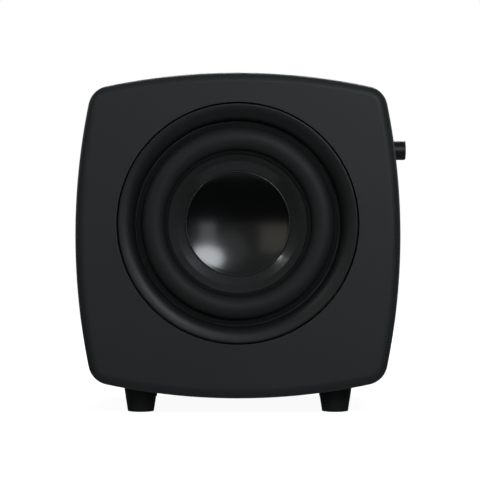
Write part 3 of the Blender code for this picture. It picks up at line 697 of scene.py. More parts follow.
class PatternLibrary:
    """Builds each pattern's node group once and hands it out.

    Every group takes a position and a fineness, and gives a shade, a gloss and a height, each from 0 to 1.
    """

    def __init__(self) -> None:
        """Starts with no group made."""
        self.made: dict[Pattern, bpy.types.NodeTree] = {}

    def group(self, pattern: Pattern) -> bpy.types.NodeTree:
        """Gives a pattern's node group, and makes it at its first use.

        Args:
            pattern: the pattern.

        Returns:
            The node group.
        """
        if pattern not in self.made:
            self.made[pattern] = self.build(pattern)
        return self.made[pattern]

    def build(self, pattern: Pattern) -> bpy.types.NodeTree:
        """Makes a pattern's node group.

        Args:
            pattern: the pattern.

        Returns:
            The node group.
        """
        tree = bpy.data.node_groups.new(pattern.value, "ShaderNodeTree")
        tree.interface.new_socket("Position", in_out="INPUT", socket_type="NodeSocketVector")
        tree.interface.new_socket("Fineness", in_out="INPUT", socket_type="NodeSocketFloat")
        for name in ("Shade", "Gloss", "Height"):
            tree.interface.new_socket(name, in_out="OUTPUT", socket_type="NodeSocketFloat")
        graph = Graph(tree)
        entry = graph.add("NodeGroupInput")
        position = entry.outputs["Position"]
        fineness = entry.outputs["Fineness"]
        makers = {
            Pattern.LACQUER: self.lacquer,
            Pattern.MOULDED: self.moulded,
            Pattern.POLISHED: self.polished,
            Pattern.PULP: self.pulp,
            Pattern.RUBBER: self.rubber,
            Pattern.CAST: self.cast,
            Pattern.POWDER: self.powder,
            Pattern.BRUSHED: self.brushed,
            Pattern.FIBREBOARD: self.fibreboard,
            Pattern.WEAVE: self.weave,
            Pattern.FELT: self.felt,
            Pattern.WINDING: self.winding,
            Pattern.TAPE: self.tape,
            Pattern.CIRCUIT: self.circuit,
        }
        shade, gloss, height = makers[pattern](graph, position, fineness)
        graph.add("NodeGroupOutput", {"Shade": shade, "Gloss": gloss, "Height": height})
        return tree

    def lacquer(self, graph: Graph, at: NodeInput, fine: NodeInput) -> tuple:
        """Sprayed lacquer: a faint orange peel, cloudy gloss and a few dust nibs.

        Args:
            graph: the group's graph.
            at: the position.
            fine: the fineness.

        Returns:
            The shade, the gloss and the height.
        """
        peel = graph.noise(at, fine, 2.0)
        cloud = graph.noise(at, 9.0, 4.0, 0.55)
        nibs = graph.add("ShaderNodeTexVoronoi", {"Vector": at, "Scale": 210.0}).outputs["Distance"]
        specks = graph.window(nibs, 0.060, 0.020)
        height = graph.math("ADD", peel, graph.math("MULTIPLY", specks, 0.5))
        shade = graph.math("ADD", graph.window(cloud, 0.30, 0.70), graph.math("MULTIPLY", specks, 0.4))
        return shade, graph.window(cloud, 0.25, 0.75), height

    def moulded(self, graph: Graph, at: NodeInput, fine: NodeInput) -> tuple:
        """Moulded plastic: a fine even texture with slow flow marks.

        Args:
            graph: the group's graph.
            at: the position.
            fine: the fineness.

        Returns:
            The shade, the gloss and the height.
        """
        grain = graph.noise(at, fine, 3.0, 0.6)
        flow = graph.noise(at, 22.0, 3.0)
        return graph.window(flow, 0.30, 0.70), graph.window(grain, 0.25, 0.75), grain

    def polished(self, graph: Graph, at: NodeInput, fine: NodeInput) -> tuple:
        """A polished moulding: hardly any texture, a little dust and faint smears.

        Args:
            graph: the group's graph.
            at: the position.
            fine: the fineness.

        Returns:
            The shade, the gloss and the height.
        """
        dust = graph.noise(at, 1400.0, 2.0, 0.7)
        smear = graph.noise(graph.stretched(at, (1.0, 1.0, 3.0)), 26.0, 4.0, 0.6)
        specks = graph.window(dust, 0.66, 0.80)
        gloss = graph.math("MAXIMUM", graph.window(smear, 0.45, 0.80), specks)
        return specks, gloss, graph.noise(at, fine, 1.0)

    def pulp(self, graph: Graph, at: NodeInput, fine: NodeInput) -> tuple:
        """Pressed paper pulp under a coating: matted fibres of several lengths.

        Args:
            graph: the group's graph.
            at: the position.
            fine: the fineness.

        Returns:
            The shade, the gloss and the height.
        """
        fibres = graph.add(
            "ShaderNodeTexNoise",
            {"Vector": at, "Scale": fine, "Detail": 5.0, "Roughness": 0.7, "Distortion": 1.2},
        ).outputs[0]
        clumps = graph.noise(at, 120.0, 3.0)
        return graph.window(clumps, 0.30, 0.70), graph.window(fibres, 0.30, 0.70), fibres

    def rubber(self, graph: Graph, at: NodeInput, fine: NodeInput) -> tuple:
        """Moulded rubber: a dull skin with a slight bloom.

        Args:
            graph: the group's graph.
            at: the position.
            fine: the fineness.

        Returns:
            The shade, the gloss and the height.
        """
        skin = graph.noise(at, fine, 4.0, 0.6)
        bloom = graph.noise(at, 45.0, 4.0, 0.6)
        return graph.window(bloom, 0.35, 0.75), graph.window(bloom, 0.30, 0.70), skin

    def cast(self, graph: Graph, at: NodeInput, fine: NodeInput) -> tuple:
        """A coated casting: pitted and lumpy.

        Args:
            graph: the group's graph.
            at: the position.
            fine: the fineness.

        Returns:
            The shade, the gloss and the height.
        """
        pits = graph.add("ShaderNodeTexVoronoi", {"Vector": at, "Scale": fine}).outputs["Distance"]
        lumps = graph.noise(at, 90.0, 4.0)
        height = graph.math("ADD", graph.math("MULTIPLY", pits, 0.6), graph.math("MULTIPLY", lumps, 0.4))
        return lumps, graph.window(pits, 0.1, 0.7), height

    def powder(self, graph: Graph, at: NodeInput, fine: NodeInput) -> tuple:
        """Powder coat: small close bumps.

        Args:
            graph: the group's graph.
            at: the position.
            fine: the fineness.

        Returns:
            The shade, the gloss and the height.
        """
        bumps = graph.add("ShaderNodeTexVoronoi", {"Vector": at, "Scale": fine}).outputs["Distance"]
        height = graph.math("SUBTRACT", 1.0, graph.window(bumps, 0.0, 0.7))
        cloud = graph.noise(at, 30.0, 3.0)
        return graph.window(cloud, 0.3, 0.7), graph.window(bumps, 0.1, 0.6), height

    def brushed(self, graph: Graph, at: NodeInput, fine: NodeInput) -> tuple:
        """Drawn or turned metal: fine lines across the Y axis and a few stains.

        Args:
            graph: the group's graph.
            at: the position.
            fine: the fineness.

        Returns:
            The shade, the gloss and the height.
        """
        lines = graph.noise(graph.stretched(at, (0.05, 1.0, 0.05)), fine, 2.0)
        stain = graph.noise(at, 150.0, 3.0)
        return graph.window(stain, 0.35, 0.75), graph.window(lines, 0.3, 0.7), lines

    def fibreboard(self, graph: Graph, at: NodeInput, fine: NodeInput) -> tuple:
        """Raw fibreboard: short pressed fibres in light and dark browns.

        Args:
            graph: the group's graph.
            at: the position.
            fine: the fineness.

        Returns:
            The shade, the gloss and the height.
        """
        fibres = graph.noise(graph.stretched(at, (1.0, 3.0, 1.0)), fine, 5.0, 0.7)
        broad = graph.noise(at, 35.0, 3.0)
        shade = graph.math("MULTIPLY", graph.window(fibres, 0.25, 0.75), graph.spread(broad, 0.7, 1.2))
        return shade, graph.window(fibres, 0.3, 0.7), fibres

    def weave(self, graph: Graph, at: NodeInput, fine: NodeInput) -> tuple:
        """Open plain weave across X and Z.

        Args:
            graph: the group's graph.
            at: the position.
            fine: the fineness.

        Returns:
            The shade, the gloss and the height.
        """
        warp = graph.add("ShaderNodeTexWave", {"Vector": at, "Scale": fine}, bands_direction="X").outputs[1]
        weft = graph.add("ShaderNodeTexWave", {"Vector": at, "Scale": fine}, bands_direction="Z").outputs[1]
        height = graph.math("MAXIMUM", warp, weft)
        stain = graph.noise(at, 60.0, 3.0)
        shade = graph.math("MULTIPLY", graph.math("MULTIPLY", warp, weft), graph.spread(stain, 0.6, 1.3))
        return shade, height, height

    def felt(self, graph: Graph, at: NodeInput, fine: NodeInput) -> tuple:
        """Loose grey felt: tangled fibres of mixed shades.

        Args:
            graph: the group's graph.
            at: the position.
            fine: the fineness.

        Returns:
            The shade, the gloss and the height.
        """
        tangle = graph.add(
            "ShaderNodeTexNoise",
            {"Vector": at, "Scale": fine, "Detail": 6.0, "Roughness": 0.75, "Distortion": 3.0},
        ).outputs[0]
        clumps = graph.noise(at, 80.0, 4.0, 0.65)
        height = graph.math("ADD", tangle, clumps)
        return graph.window(tangle, 0.3, 0.7), graph.window(clumps, 0.3, 0.7), height

    def winding(self, graph: Graph, at: NodeInput, fine: NodeInput) -> tuple:
        """Wire wound in turns that follow each other along Y.

        Args:
            graph: the group's graph.
            at: the position.
            fine: the fineness.

        Returns:
            The shade, the gloss and the height.
        """
        turns = graph.add(
            "ShaderNodeTexWave", {"Vector": at, "Scale": fine, "Distortion": 0.2}, bands_direction="Y"
        )
        heat = graph.noise(at, 200.0, 3.0)
        return graph.window(heat, 0.3, 0.7), graph.window(heat, 0.4, 0.8), turns.outputs[1]

    def tape(self, graph: Graph, at: NodeInput, fine: NodeInput) -> tuple:
        """Polyester tape wrapped in overlapping turns.

        Args:
            graph: the group's graph.
            at: the position.
            fine: the fineness.

        Returns:
            The shade, the gloss and the height.
        """
        wraps = graph.add(
            "ShaderNodeTexWave", {"Vector": at, "Scale": fine, "Distortion": 1.5}, wave_profile="SAW"
        ).outputs[1]
        crease = graph.noise(at, 180.0, 3.0)
        return graph.window(wraps, 0.0, 1.0), graph.window(crease, 0.3, 0.7), wraps

    def circuit(self, graph: Graph, at: NodeInput, fine: NodeInput) -> tuple:
        """Green laminate with copper tracks under the mask and bright joints.

        Args:
            graph: the group's graph.
            at: the position.
            fine: the fineness.

        Returns:
            The shade, the gloss and the height.
        """
        cells = graph.add("ShaderNodeTexVoronoi", {"Vector": at, "Scale": fine}, distance="MANHATTAN")
        tracks = graph.window(cells.outputs["Distance"], 0.30, 0.36)
        joints = graph.window(cells.outputs["Distance"], 0.12, 0.08)
        return graph.math("MAXIMUM", graph.math("MULTIPLY", tracks, 0.35), joints), tracks, tracks


PATTERNS = PatternLibrary()


@dataclass(frozen=True)
class Finish:
    """One surface finish, from which a procedural material is made.

    Colours are linear RGB. Fineness is how many features a metre holds, and relief how deep they are, in
    metres.
    """

    name: str
    slot: str
    pattern: Pattern
    dark: tuple[float, float, float]
    light: tuple[float, float, float]
    smooth_roughness: float
    dull_roughness: float
    fineness: float
    relief: float
    metallic: float = 0.0
    specular: float = 0.5
    coat: float = 0.0
    coat_roughness: float = 0.1
    sheen: float = 0.0
    dust: float = 0.0

    def material(self) -> bpy.types.Material:
        """Gives the finish's material, and makes it at its first use."""
        return bpy.data.materials.get(self.name) or self.make()

    def make(self) -> bpy.types.Material:
        """Builds the material's nodes.

        Returns:
            The material.
        """
        made = bpy.data.materials.new(self.name)
        made.use_nodes = True
        graph = Graph(made.node_tree)
        at = graph.add("ShaderNodeTexCoord").outputs["Object"]
        pattern = graph.add("ShaderNodeGroup", node_tree=PATTERNS.group(self.pattern))
        graph.tree.links.new(at, pattern.inputs["Position"])
        pattern.inputs["Fineness"].default_value = self.fineness
        colour = self.mixed(graph, pattern.outputs["Shade"], self.dark, self.light)
        if self.dust:
            colour = self.dusted(graph, at, colour)
        rough = graph.spread(pattern.outputs["Gloss"], self.smooth_roughness, self.dull_roughness)
        height = pattern.outputs["Height"]
        bump = graph.add("ShaderNodeBump", {"Strength": 1.0, "Distance": self.relief, "Height": height})
        shader = graph.add(
            "ShaderNodeBsdfPrincipled",
            {"Base Color": colour, "Roughness": rough, "Normal": bump.outputs[0]},
        )
        shader.inputs["Metallic"].default_value = self.metallic
        shader.inputs["Specular IOR Level"].default_value = self.specular
        shader.inputs["Coat Weight"].default_value = self.coat
        shader.inputs["Coat Roughness"].default_value = self.coat_roughness
        shader.inputs["Sheen Weight"].default_value = self.sheen
        graph.add("ShaderNodeOutputMaterial", {"Surface": shader.outputs[0]})
        return made

    def mixed(
        self,
        graph: Graph,
        factor: NodeInput,
        first: Sequence[float] | bpy.types.NodeSocket,
        second: Sequence[float] | bpy.types.NodeSocket,
    ) -> bpy.types.NodeSocket:
        """Mixes two colours.

        Args:
            graph: the graph to add to.
            factor: 0 for the first colour, 1 for the second.
            first: a colour, or another node's output.
            second: a colour, or another node's output.

        Returns:
            The mixed colour.
        """
        node = graph.add("ShaderNodeMix", data_type="RGBA")
        graph.tree.links.new(factor, node.inputs[0])
        for socket, colour in ((node.inputs[6], first), (node.inputs[7], second)):
            if isinstance(colour, bpy.types.NodeSocket):
                graph.tree.links.new(colour, socket)
            else:
                socket.default_value = (*colour, 1.0)
        return node.outputs[2]

    def dusted(self, graph: Graph, at: NodeInput, colour: bpy.types.NodeSocket) -> bpy.types.NodeSocket:
        """Lays a thin film of dust on the surfaces that face up.

        Args:
            graph: the graph to add to.
            at: the position.
            colour: the colour below.

        Returns:
            The colour with dust on it.
        """
        normal = graph.add("ShaderNodeNewGeometry").outputs["Normal"]
        up = graph.add("ShaderNodeSeparateXYZ", {0: normal}).outputs["Z"]
        patches = graph.noise(at, 60.0, 5.0, 0.7)
        film = graph.math("MULTIPLY", graph.window(up, 0.55, 1.0), graph.window(patches, 0.35, 0.75))
        return self.mixed(graph, graph.math("MULTIPLY", film, self.dust), colour, (0.30, 0.29, 0.27))


LACQUER = Finish(
    "satin_black_lacquer", "cabinet_paint", Pattern.LACQUER,
    (0.0252, 0.0274, 0.0290), (0.0280, 0.0302, 0.0318), 0.50, 0.56, 900.0, 0.000008, specular=0.31, dust=0.02,
)
TRIM_BLACK = Finish(
    "semi_gloss_trim", "trim_plastic", Pattern.MOULDED, (0.0080, 0.0086, 0.0090), (0.0105, 0.0111, 0.0115),
    0.42, 0.47, 75.0, 0.000060, specular=0.36,
)
ROLL_RUBBER = Finish(
    "roll_rubber", "rubber", Pattern.RUBBER, (0.0170, 0.0180, 0.0185), (0.0200, 0.0210, 0.0215),
    0.56, 0.64, 700.0, 0.000012, specular=0.29,
)
# Duller rubber for the surround's flanges; its darker colour is painted shade for the recesses beside the
# roll.
SHADED_FLANGE_RUBBER = Finish(
    "flange_rubber_painted_shade", "rubber", Pattern.RUBBER, (0.0060, 0.0062, 0.0064), (0.0080, 0.0082, 0.0084),
    0.75, 0.85, 900.0, 0.000020, specular=0.20,
)
CONE_COAT = Finish(
    "coated_pulp", "cone_pulp", Pattern.PULP, (0.0120, 0.0121, 0.0121), (0.0160, 0.0161, 0.0161),
    0.46, 0.54, 900.0, 0.000006, specular=0.25, coat=0.90, coat_roughness=0.13,
)
CONE_EDGE = Finish(
    "cone_edge", "cone_pulp", Pattern.PULP, (0.0120, 0.0121, 0.0121), (0.0160, 0.0161, 0.0161),
    0.62, 0.70, 900.0, 0.000006, specular=0.30,
)
BOWL_GLOSS = Finish(
    "gloss_bowl", "gloss_plastic", Pattern.POLISHED, (0.0018, 0.0019, 0.0021), (0.0060, 0.0060, 0.0060),
    0.16, 0.20, 300.0, 0.000002, specular=0.55,
)
# The cap's raised rim bead is coloured lighter than the bowl: a painted highlight along the cap's edge.
BOWL_EDGE_HIGHLIGHT = Finish(
    "bowl_edge_painted_highlight", "gloss_plastic", Pattern.POLISHED, (0.0160, 0.0162, 0.0166), (0.0200, 0.0200, 0.0200),
    0.26, 0.32, 300.0, 0.000004, specular=0.50,
)
BLACK_PLASTIC = Finish(
    "satin_black_plastic", "black_plastic", Pattern.MOULDED,
    (0.0100, 0.0102, 0.0105), (0.0130, 0.0132, 0.0135), 0.38, 0.48, 1800.0, 0.000014, specular=0.36,
)
FOOT_PLASTIC = Finish(
    "foot_plastic", "black_plastic", Pattern.MOULDED, (0.0100, 0.0102, 0.0102), (0.0120, 0.0122, 0.0122),
    0.42, 0.50, 1500.0, 0.000016, specular=0.35,
)
GLOSS_PLASTIC = Finish(
    "gloss_black_plastic", "gloss_plastic", Pattern.POLISHED,
    (0.0060, 0.0060, 0.0065), (0.0120, 0.0120, 0.0120), 0.20, 0.32, 500.0, 0.000006, specular=0.50,
)
PAD_RUBBER = Finish(
    "pad_rubber", "rubber", Pattern.RUBBER, (0.0100, 0.0100, 0.0100), (0.0150, 0.0150, 0.0150),
    0.75, 0.88, 1200.0, 0.000040, specular=0.30,
)
POINTER_PAINT = Finish(
    "pointer_paint", "black_plastic", Pattern.MOULDED, (0.0600, 0.0600, 0.0610), (0.0700, 0.0700, 0.0710),
    0.40, 0.50, 1500.0, 0.000010,
)
PANEL_PRINT = Finish(
    "panel_print", "panel_metal", Pattern.MOULDED, (0.55, 0.55, 0.54), (0.62, 0.62, 0.61),
    0.50, 0.60, 2500.0, 0.000008,
)
POWDER_COAT = Finish(
    "fine_powder_coat", "panel_metal", Pattern.POWDER, (0.0140, 0.0145, 0.0150), (0.0180, 0.0185, 0.0190),
    0.42, 0.58, 1500.0, 0.000060, metallic=0.0, specular=0.50, dust=0.03,
)
ANODISED = Finish(
    "black_anodised", "sink_metal", Pattern.BRUSHED, (0.0180, 0.0185, 0.0195), (0.0260, 0.0265, 0.0275),
    0.34, 0.46, 2500.0, 0.000010, metallic=0.7, dust=0.05,
)
DARK_RING = Finish(
    "dark_satin_ring", "bezel_metal", Pattern.BRUSHED, (0.0500, 0.0510, 0.0520), (0.0650, 0.0660, 0.0670),
    0.28, 0.36, 2500.0, 0.000006, metallic=0.8,
)
ZINC = Finish(
    "zinc_plate", "plated_steel", Pattern.BRUSHED, (0.48, 0.48, 0.49), (0.60, 0.60, 0.60),
    0.24, 0.38, 3000.0, 0.000008, metallic=1.0,
)
BLACK_STEEL = Finish(
    "blackened_steel", "plated_steel", Pattern.BRUSHED, (0.030, 0.030, 0.032), (0.045, 0.045, 0.047),
    0.30, 0.42, 3000.0, 0.000008, metallic=0.9,
)
NICKEL = Finish(
    "nickel_plate", "plated_steel", Pattern.BRUSHED, (0.62, 0.60, 0.56), (0.72, 0.70, 0.66),
    0.16, 0.26, 3000.0, 0.000004, metallic=1.0,
)
JACK_RED = Finish(
    "jack_insulator_red", "gloss_plastic", Pattern.POLISHED, (0.42, 0.015, 0.012), (0.46, 0.03, 0.025),
    0.25, 0.35, 600.0, 0.000005,
)
JACK_WHITE = Finish(
    "jack_insulator_white", "gloss_plastic", Pattern.POLISHED, (0.66, 0.65, 0.62), (0.70, 0.69, 0.66),
    0.25, 0.35, 600.0, 0.000005,
)
RAW_BOARD = Finish(
    "raw_fibreboard", "wood_board", Pattern.FIBREBOARD, (0.18, 0.11, 0.055), (0.38, 0.27, 0.155),
    0.80, 0.95, 1400.0, 0.000060,
)
CASTING = Finish(
    "coated_casting", "cast_frame", Pattern.CAST, (0.020, 0.021, 0.022), (0.034, 0.035, 0.037),
    0.45, 0.60, 900.0, 0.000060, metallic=0.3,
)
RESIN_CLOTH = Finish(
    "resin_cloth", "spider_cloth", Pattern.WEAVE, (0.24, 0.15, 0.040), (0.44, 0.31, 0.120),
    0.70, 0.90, 420.0, 0.000080, sheen=0.1,
)
KRAFT = Finish(
    "kraft_film", "former_film", Pattern.FIBREBOARD, (0.040, 0.034, 0.028), (0.070, 0.058, 0.044),
    0.50, 0.65, 1800.0, 0.000010,
)
ENAMELLED_COPPER = Finish(
    "enamelled_copper", "copper_wire", Pattern.WINDING, (0.56, 0.19, 0.08), (0.76, 0.32, 0.15),
    0.22, 0.36, 400.0, 0.000060, metallic=0.95,
)
SINTERED = Finish(
    "sintered_ferrite", "ferrite", Pattern.CAST, (0.028, 0.029, 0.031), (0.046, 0.047, 0.050),
    0.55, 0.75, 1500.0, 0.000030,
)
MASKED_LAMINATE = Finish(
    "masked_laminate", "circuit_board", Pattern.CIRCUIT, (0.010, 0.105, 0.035), (0.30, 0.42, 0.28),
    0.28, 0.42, 260.0, 0.000030,
)
YELLOW_TAPE = Finish(
    "yellow_tape", "transformer_tape", Pattern.TAPE, (0.46, 0.36, 0.085), (0.56, 0.47, 0.150),
    0.30, 0.42, 60.0, 0.000100, coat=0.3,
)
GREY_FELT = Finish(
    "grey_felt", "felt", Pattern.FELT, (0.13, 0.13, 0.125), (0.34, 0.34, 0.33),
    0.92, 1.00, 700.0, 0.000400, sheen=0.3,
)
RED_JACKET = Finish(
    "red_jacket", "cable_jacket", Pattern.MOULDED, (0.36, 0.012, 0.012), (0.46, 0.022, 0.020),
    0.35, 0.50, 1500.0, 0.000010,
)

NODE_FINISHES: dict[str, Finish] = {
    "cabinet_paint": LACQUER,
    "trim_plastic": TRIM_BLACK,
    "black_plastic": BLACK_PLASTIC,
    "gloss_plastic": GLOSS_PLASTIC,
    "rubber": PAD_RUBBER,
    "wood_board": RAW_BOARD,
    "cast_frame": CASTING,
    "cone_pulp": CONE_COAT,
    "spider_cloth": RESIN_CLOTH,
    "former_film": KRAFT,
    "copper_wire": ENAMELLED_COPPER,
    "plated_steel": ZINC,
    "ferrite": SINTERED,
    "panel_metal": POWDER_COAT,
    "sink_metal": ANODISED,
    "circuit_board": MASKED_LAMINATE,
    "transformer_tape": YELLOW_TAPE,
    "felt": GREY_FELT,
    "cable_jacket": RED_JACKET,
    "bezel_metal": DARK_RING,
}


# ----------------------------------------------------------------------------------------------------
# Places
# ----------------------------------------------------------------------------------------------------

RIGHT = Vector((1.0, 0.0, 0.0))
BACK = Vector((0.0, 1.0, 0.0))
UP = Vector((0.0, 0.0, 1.0))


def middle_of(node: str) -> Vector:
    """Gives the middle of a CAD node's box."""
    low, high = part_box(node)
    return (low + high) / 2


def size_of(node: str) -> Vector:
    """Gives the size of a CAD node's box."""
    low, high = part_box(node)
    return high - low


def arc(centre: Point2, radius: float, start: float, end: float, steps: int) -> list[Point2]:
    """Gives points on an arc without its last one.

    Args:
        centre: the arc's centre.
        radius: its radius.
        start: the first angle, in radians.
        end: the last angle.
        steps: how many parts it has.

    Returns:
        The points.
    """
    turns = [start + (end - start) * i / steps for i in range(steps)]
    return [(centre[0] + radius * math.cos(t), centre[1] + radius * math.sin(t)) for t in turns]


def rounded_rectangle(width: float, height: float, radius: float, steps: int = 8) -> list[Point2]:
    """Gives the outline of a rectangle with round corners.

    Args:
        width: its width.
        height: its height.
        radius: its corners' radius.
        steps: how many parts each corner has.

    Returns:
        The points, anticlockwise.
    """
    points = []
    for quarter, (side, rise) in enumerate([(1, 1), (-1, 1), (-1, -1), (1, -1)]):
        centre = (side * (width / 2 - radius), rise * (height / 2 - radius))
        start = quarter * math.pi / 2
        points += arc(centre, radius, start, start + math.pi / 2, steps)
        points.append(arc(centre, radius, start + math.pi / 2, start, 1)[0])
    return points


def upright(points: Iterable[Point2], middle: Vector, y: float) -> list[Vector]:
    """Stands an outline up in the plane of the cabinet's front.

    Args:
        points: the outline's (across, up) points.
        middle: where its origin goes.
        y: the plane's place.

    Returns:
        The points in space.
    """
    return [Vector((middle.x + x, y, middle.z + z)) for x, z in points]


@dataclass(frozen=True)
class BowedOutline:
    """The cabinet's front outline: four shallow arcs that meet in round corners."""

    width: float
    height: float
    side_radius: float = 0.630
    top_radius: float = 0.604
    corner_radius: float = 0.022

    def corner(self) -> Point2:
        """Gives the middle of the top right corner's arc, which touches both its neighbours from inside.

        Returns:
            The (across, up) point.
        """
        side_x = self.width / 2 - self.side_radius
        top_y = self.height / 2 - self.top_radius
        from_side = self.side_radius - self.corner_radius
        from_top = self.top_radius - self.corner_radius
        apart = math.hypot(side_x, top_y)
        along = (from_side**2 - from_top**2 + apart**2) / (2 * apart)
        across = math.sqrt(from_side**2 - along**2)
        to_x = -side_x / apart
        to_y = top_y / apart
        return side_x + along * to_x - across * to_y, along * to_y + across * to_x

    def half_width_at(self, height: float) -> float:
        """Gives the distance from the middle to the side at a height above the middle."""
        return self.width / 2 - self.side_radius + math.sqrt(self.side_radius**2 - height**2)

    def points(self, inset: float = 0.0, bow_steps: int = 28, corner_steps: int = 9) -> list[Point2]:
        """Gives the outline, moved inwards.

        Args:
            inset: how far it is moved.
            bow_steps: how many parts each long arc has.
            corner_steps: how many parts each corner has.

        Returns:
            The (across, up) points, anticlockwise.
        """
        x, y = self.corner()
        side = (self.width / 2 - self.side_radius, 0.0)
        top = (0.0, self.height / 2 - self.top_radius)
        low = math.atan2(y, x - side[0])
        high = math.atan2(y - top[1], x)
        half = arc(side, self.side_radius - inset, -low, low, bow_steps)
        half += arc((x, y), self.corner_radius - inset, low, high, corner_steps)
        half += arc(top, self.top_radius - inset, high, math.pi - high, bow_steps)
        half += arc((-x, y), self.corner_radius - inset, math.pi - high, math.pi - low, corner_steps)
        return half + [(-across, -rise) for across, rise in half]


def screw_with_cross(name: str, axis: Axis, radius: float, height: float, shank: float) -> Workpiece:
    """Models a pan-head screw with a cross recess, its head's underside at the axis's origin.

    Args:
        name: the piece's name.
        axis: the screw's axis, along which its head stands out.
        radius: the head's radius.
        height: the head's height.
        shank: the shank's length.

    Returns:
        The workpiece.
    """
    rim = 0.35
    turns = (0.0, 0.35, 0.7, 1.05, 1.35)
    crown = [(radius * math.cos(t), height * (rim + (1.0 - rim) * math.sin(t))) for t in turns]
    core = radius * 0.44
    profile = [(0.0, height), *crown[::-1], (radius, 0.0), (core, 0.0), (core, -shank + 0.001), (0.0, -shank)]
    made = Workpiece.turned(name, axis, profile, 32, closed=False)
    slot = (radius * 1.15, radius * 0.26)
    across = axis.along.cross(axis.out)
    for wide, thin in ((axis.out, across), (across, axis.out)):
        parts = ((wide, slot[0]), (thin, slot[1]), (axis.along, height))
        size = [sum(abs(way[i]) * length for way, length in parts) for i in range(3)]
        made.cut(Workpiece.block("recess", size, axis.place(0.0, height * 0.95)))
    return made.shade(30.0)


# ----------------------------------------------------------------------------------------------------
# Cabinet
# ----------------------------------------------------------------------------------------------------


@dataclass
class Cabinet:
    """The lacquered box with its bowed sides, and the panel let into its back."""

    wall: float = 0.015
    edge_round: float = 0.010
    front_wall: float = 0.0188
    opening_radius: float = 0.1159
    opening_edge: float = 0.0004
    knob_hole_radius: float = 0.0040
    pot_pocket_radius: float = 0.0115
    gap: float = 0.0003
    amp_cutout: Point2 = (0.146, 0.196)
    outline: BowedOutline = field(init=False)
    middle: Vector = field(init=False)
    front: float = field(init=False)
    back: float = field(init=False)

    def __post_init__(self) -> None:
        """Reads the box's place and size from the CAD shell."""
        low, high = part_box("cabinet_shell")
        self.middle = (low + high) / 2
        self.front = low.y
        self.back = high.y
        self.outline = BowedOutline(high.x - low.x, high.z - low.z)

    def knob_axis(self) -> Axis:
        """Gives the level knob's axis, from the cabinet's side outwards.

        Returns:
            The axis.
        """
        knob = middle_of("level_knob")
        x = self.middle.x + self.outline.half_width_at(knob.z - self.middle.z)
        return Axis(Vector((x, knob.y, knob.z)), RIGHT, -BACK)

    def driver_axis(self) -> Axis:
        """Gives the driver's axis, from the cabinet's front face backwards."""
        ring = middle_of("trim_ring")
        return Axis(Vector((ring.x, self.front, ring.z)), BACK, RIGHT)

    def envelope(self, name: str, inset: float, start: float, end: float) -> Workpiece:
        """Makes a solid of the cabinet's outline.

        Args:
            name: the piece's name.
            inset: how far the outline is moved inwards.
            start: the y where it begins.
            end: the y where it ends.

        Returns:
            The workpiece.
        """
        rim = upright(self.outline.points(inset), self.middle, start)
        return Workpiece.plate(name, rim, (0.0, end - start, 0.0))

    def make_shell(self) -> bpy.types.Object:
        """Models the box: bowed outline, rounded rims, hollow inside, driver opening and knob hole.

        Returns:
            The finished piece.
        """
        made = self.envelope("cabinet_box", 0.0, self.front, self.back)
        for plane in (self.front, self.back):
            made.pick(Part.EDGE, lambda edge: all(abs(v.co.y - plane) < HAIR for v in edge.verts))
            made.bevel(self.edge_round, 8)
        made.pick(
            Part.FACE,
            lambda face: face.normal.y > 0.99 and abs(face.calc_center_median().y - self.back) < HAIR,
        )
        made.inset(self.wall - self.edge_round)
        made.extrude((0.0, self.front + self.front_wall - self.back, 0.0))
        opening = Workpiece.bar("opening", self.driver_axis(), self.opening_radius, -0.010, 0.030, 160)
        hole = Workpiece.bar("hole", self.knob_axis(), self.knob_hole_radius, -0.030, 0.010, 32)
        pocket = Workpiece.bar("pocket", self.knob_axis(), self.pot_pocket_radius, -0.030, -0.0040, 48)
        made.cut(opening, hole, pocket)
        rim = self.driver_axis()
        made.pick(
            Part.EDGE,
            lambda edge: all(
                abs(v.co.y - self.front) < HAIR and abs(rim.radius_of(v.co) - self.opening_radius) < HAIR
                for v in edge.verts
            ),
        )
        made.bevel(self.opening_edge, 2)
        made.shade(40.0, weighted=True).paint(LACQUER.material())
        return made.fit("cabinet", LACQUER.slot, "cabinet_shell")

    def make_rear_panel(self) -> bpy.types.Object:
        """Models the board that closes the back, with the amplifier's cut-out.

        Returns:
            The finished piece.
        """
        low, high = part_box("rear_panel")
        made = self.envelope("back_panel", self.wall + self.gap, low.y, high.y)
        window = upright(rounded_rectangle(*self.amp_cutout, 0.006), self.middle, low.y - 0.010)
        made.cut(Workpiece.plate("window", window, (0.0, 0.040, 0.0)))
        made.soften(0.0006, 2, 60.0)
        made.shade(40.0, weighted=True).paint(LACQUER.material())
        return made.fit("cabinet", LACQUER.slot, "rear_panel")

    def build(self) -> list[bpy.types.Object]:
        """Builds the cabinet's pieces."""
        return [self.make_shell(), self.make_rear_panel()]


# ----------------------------------------------------------------------------------------------------
# Driver
# ----------------------------------------------------------------------------------------------------


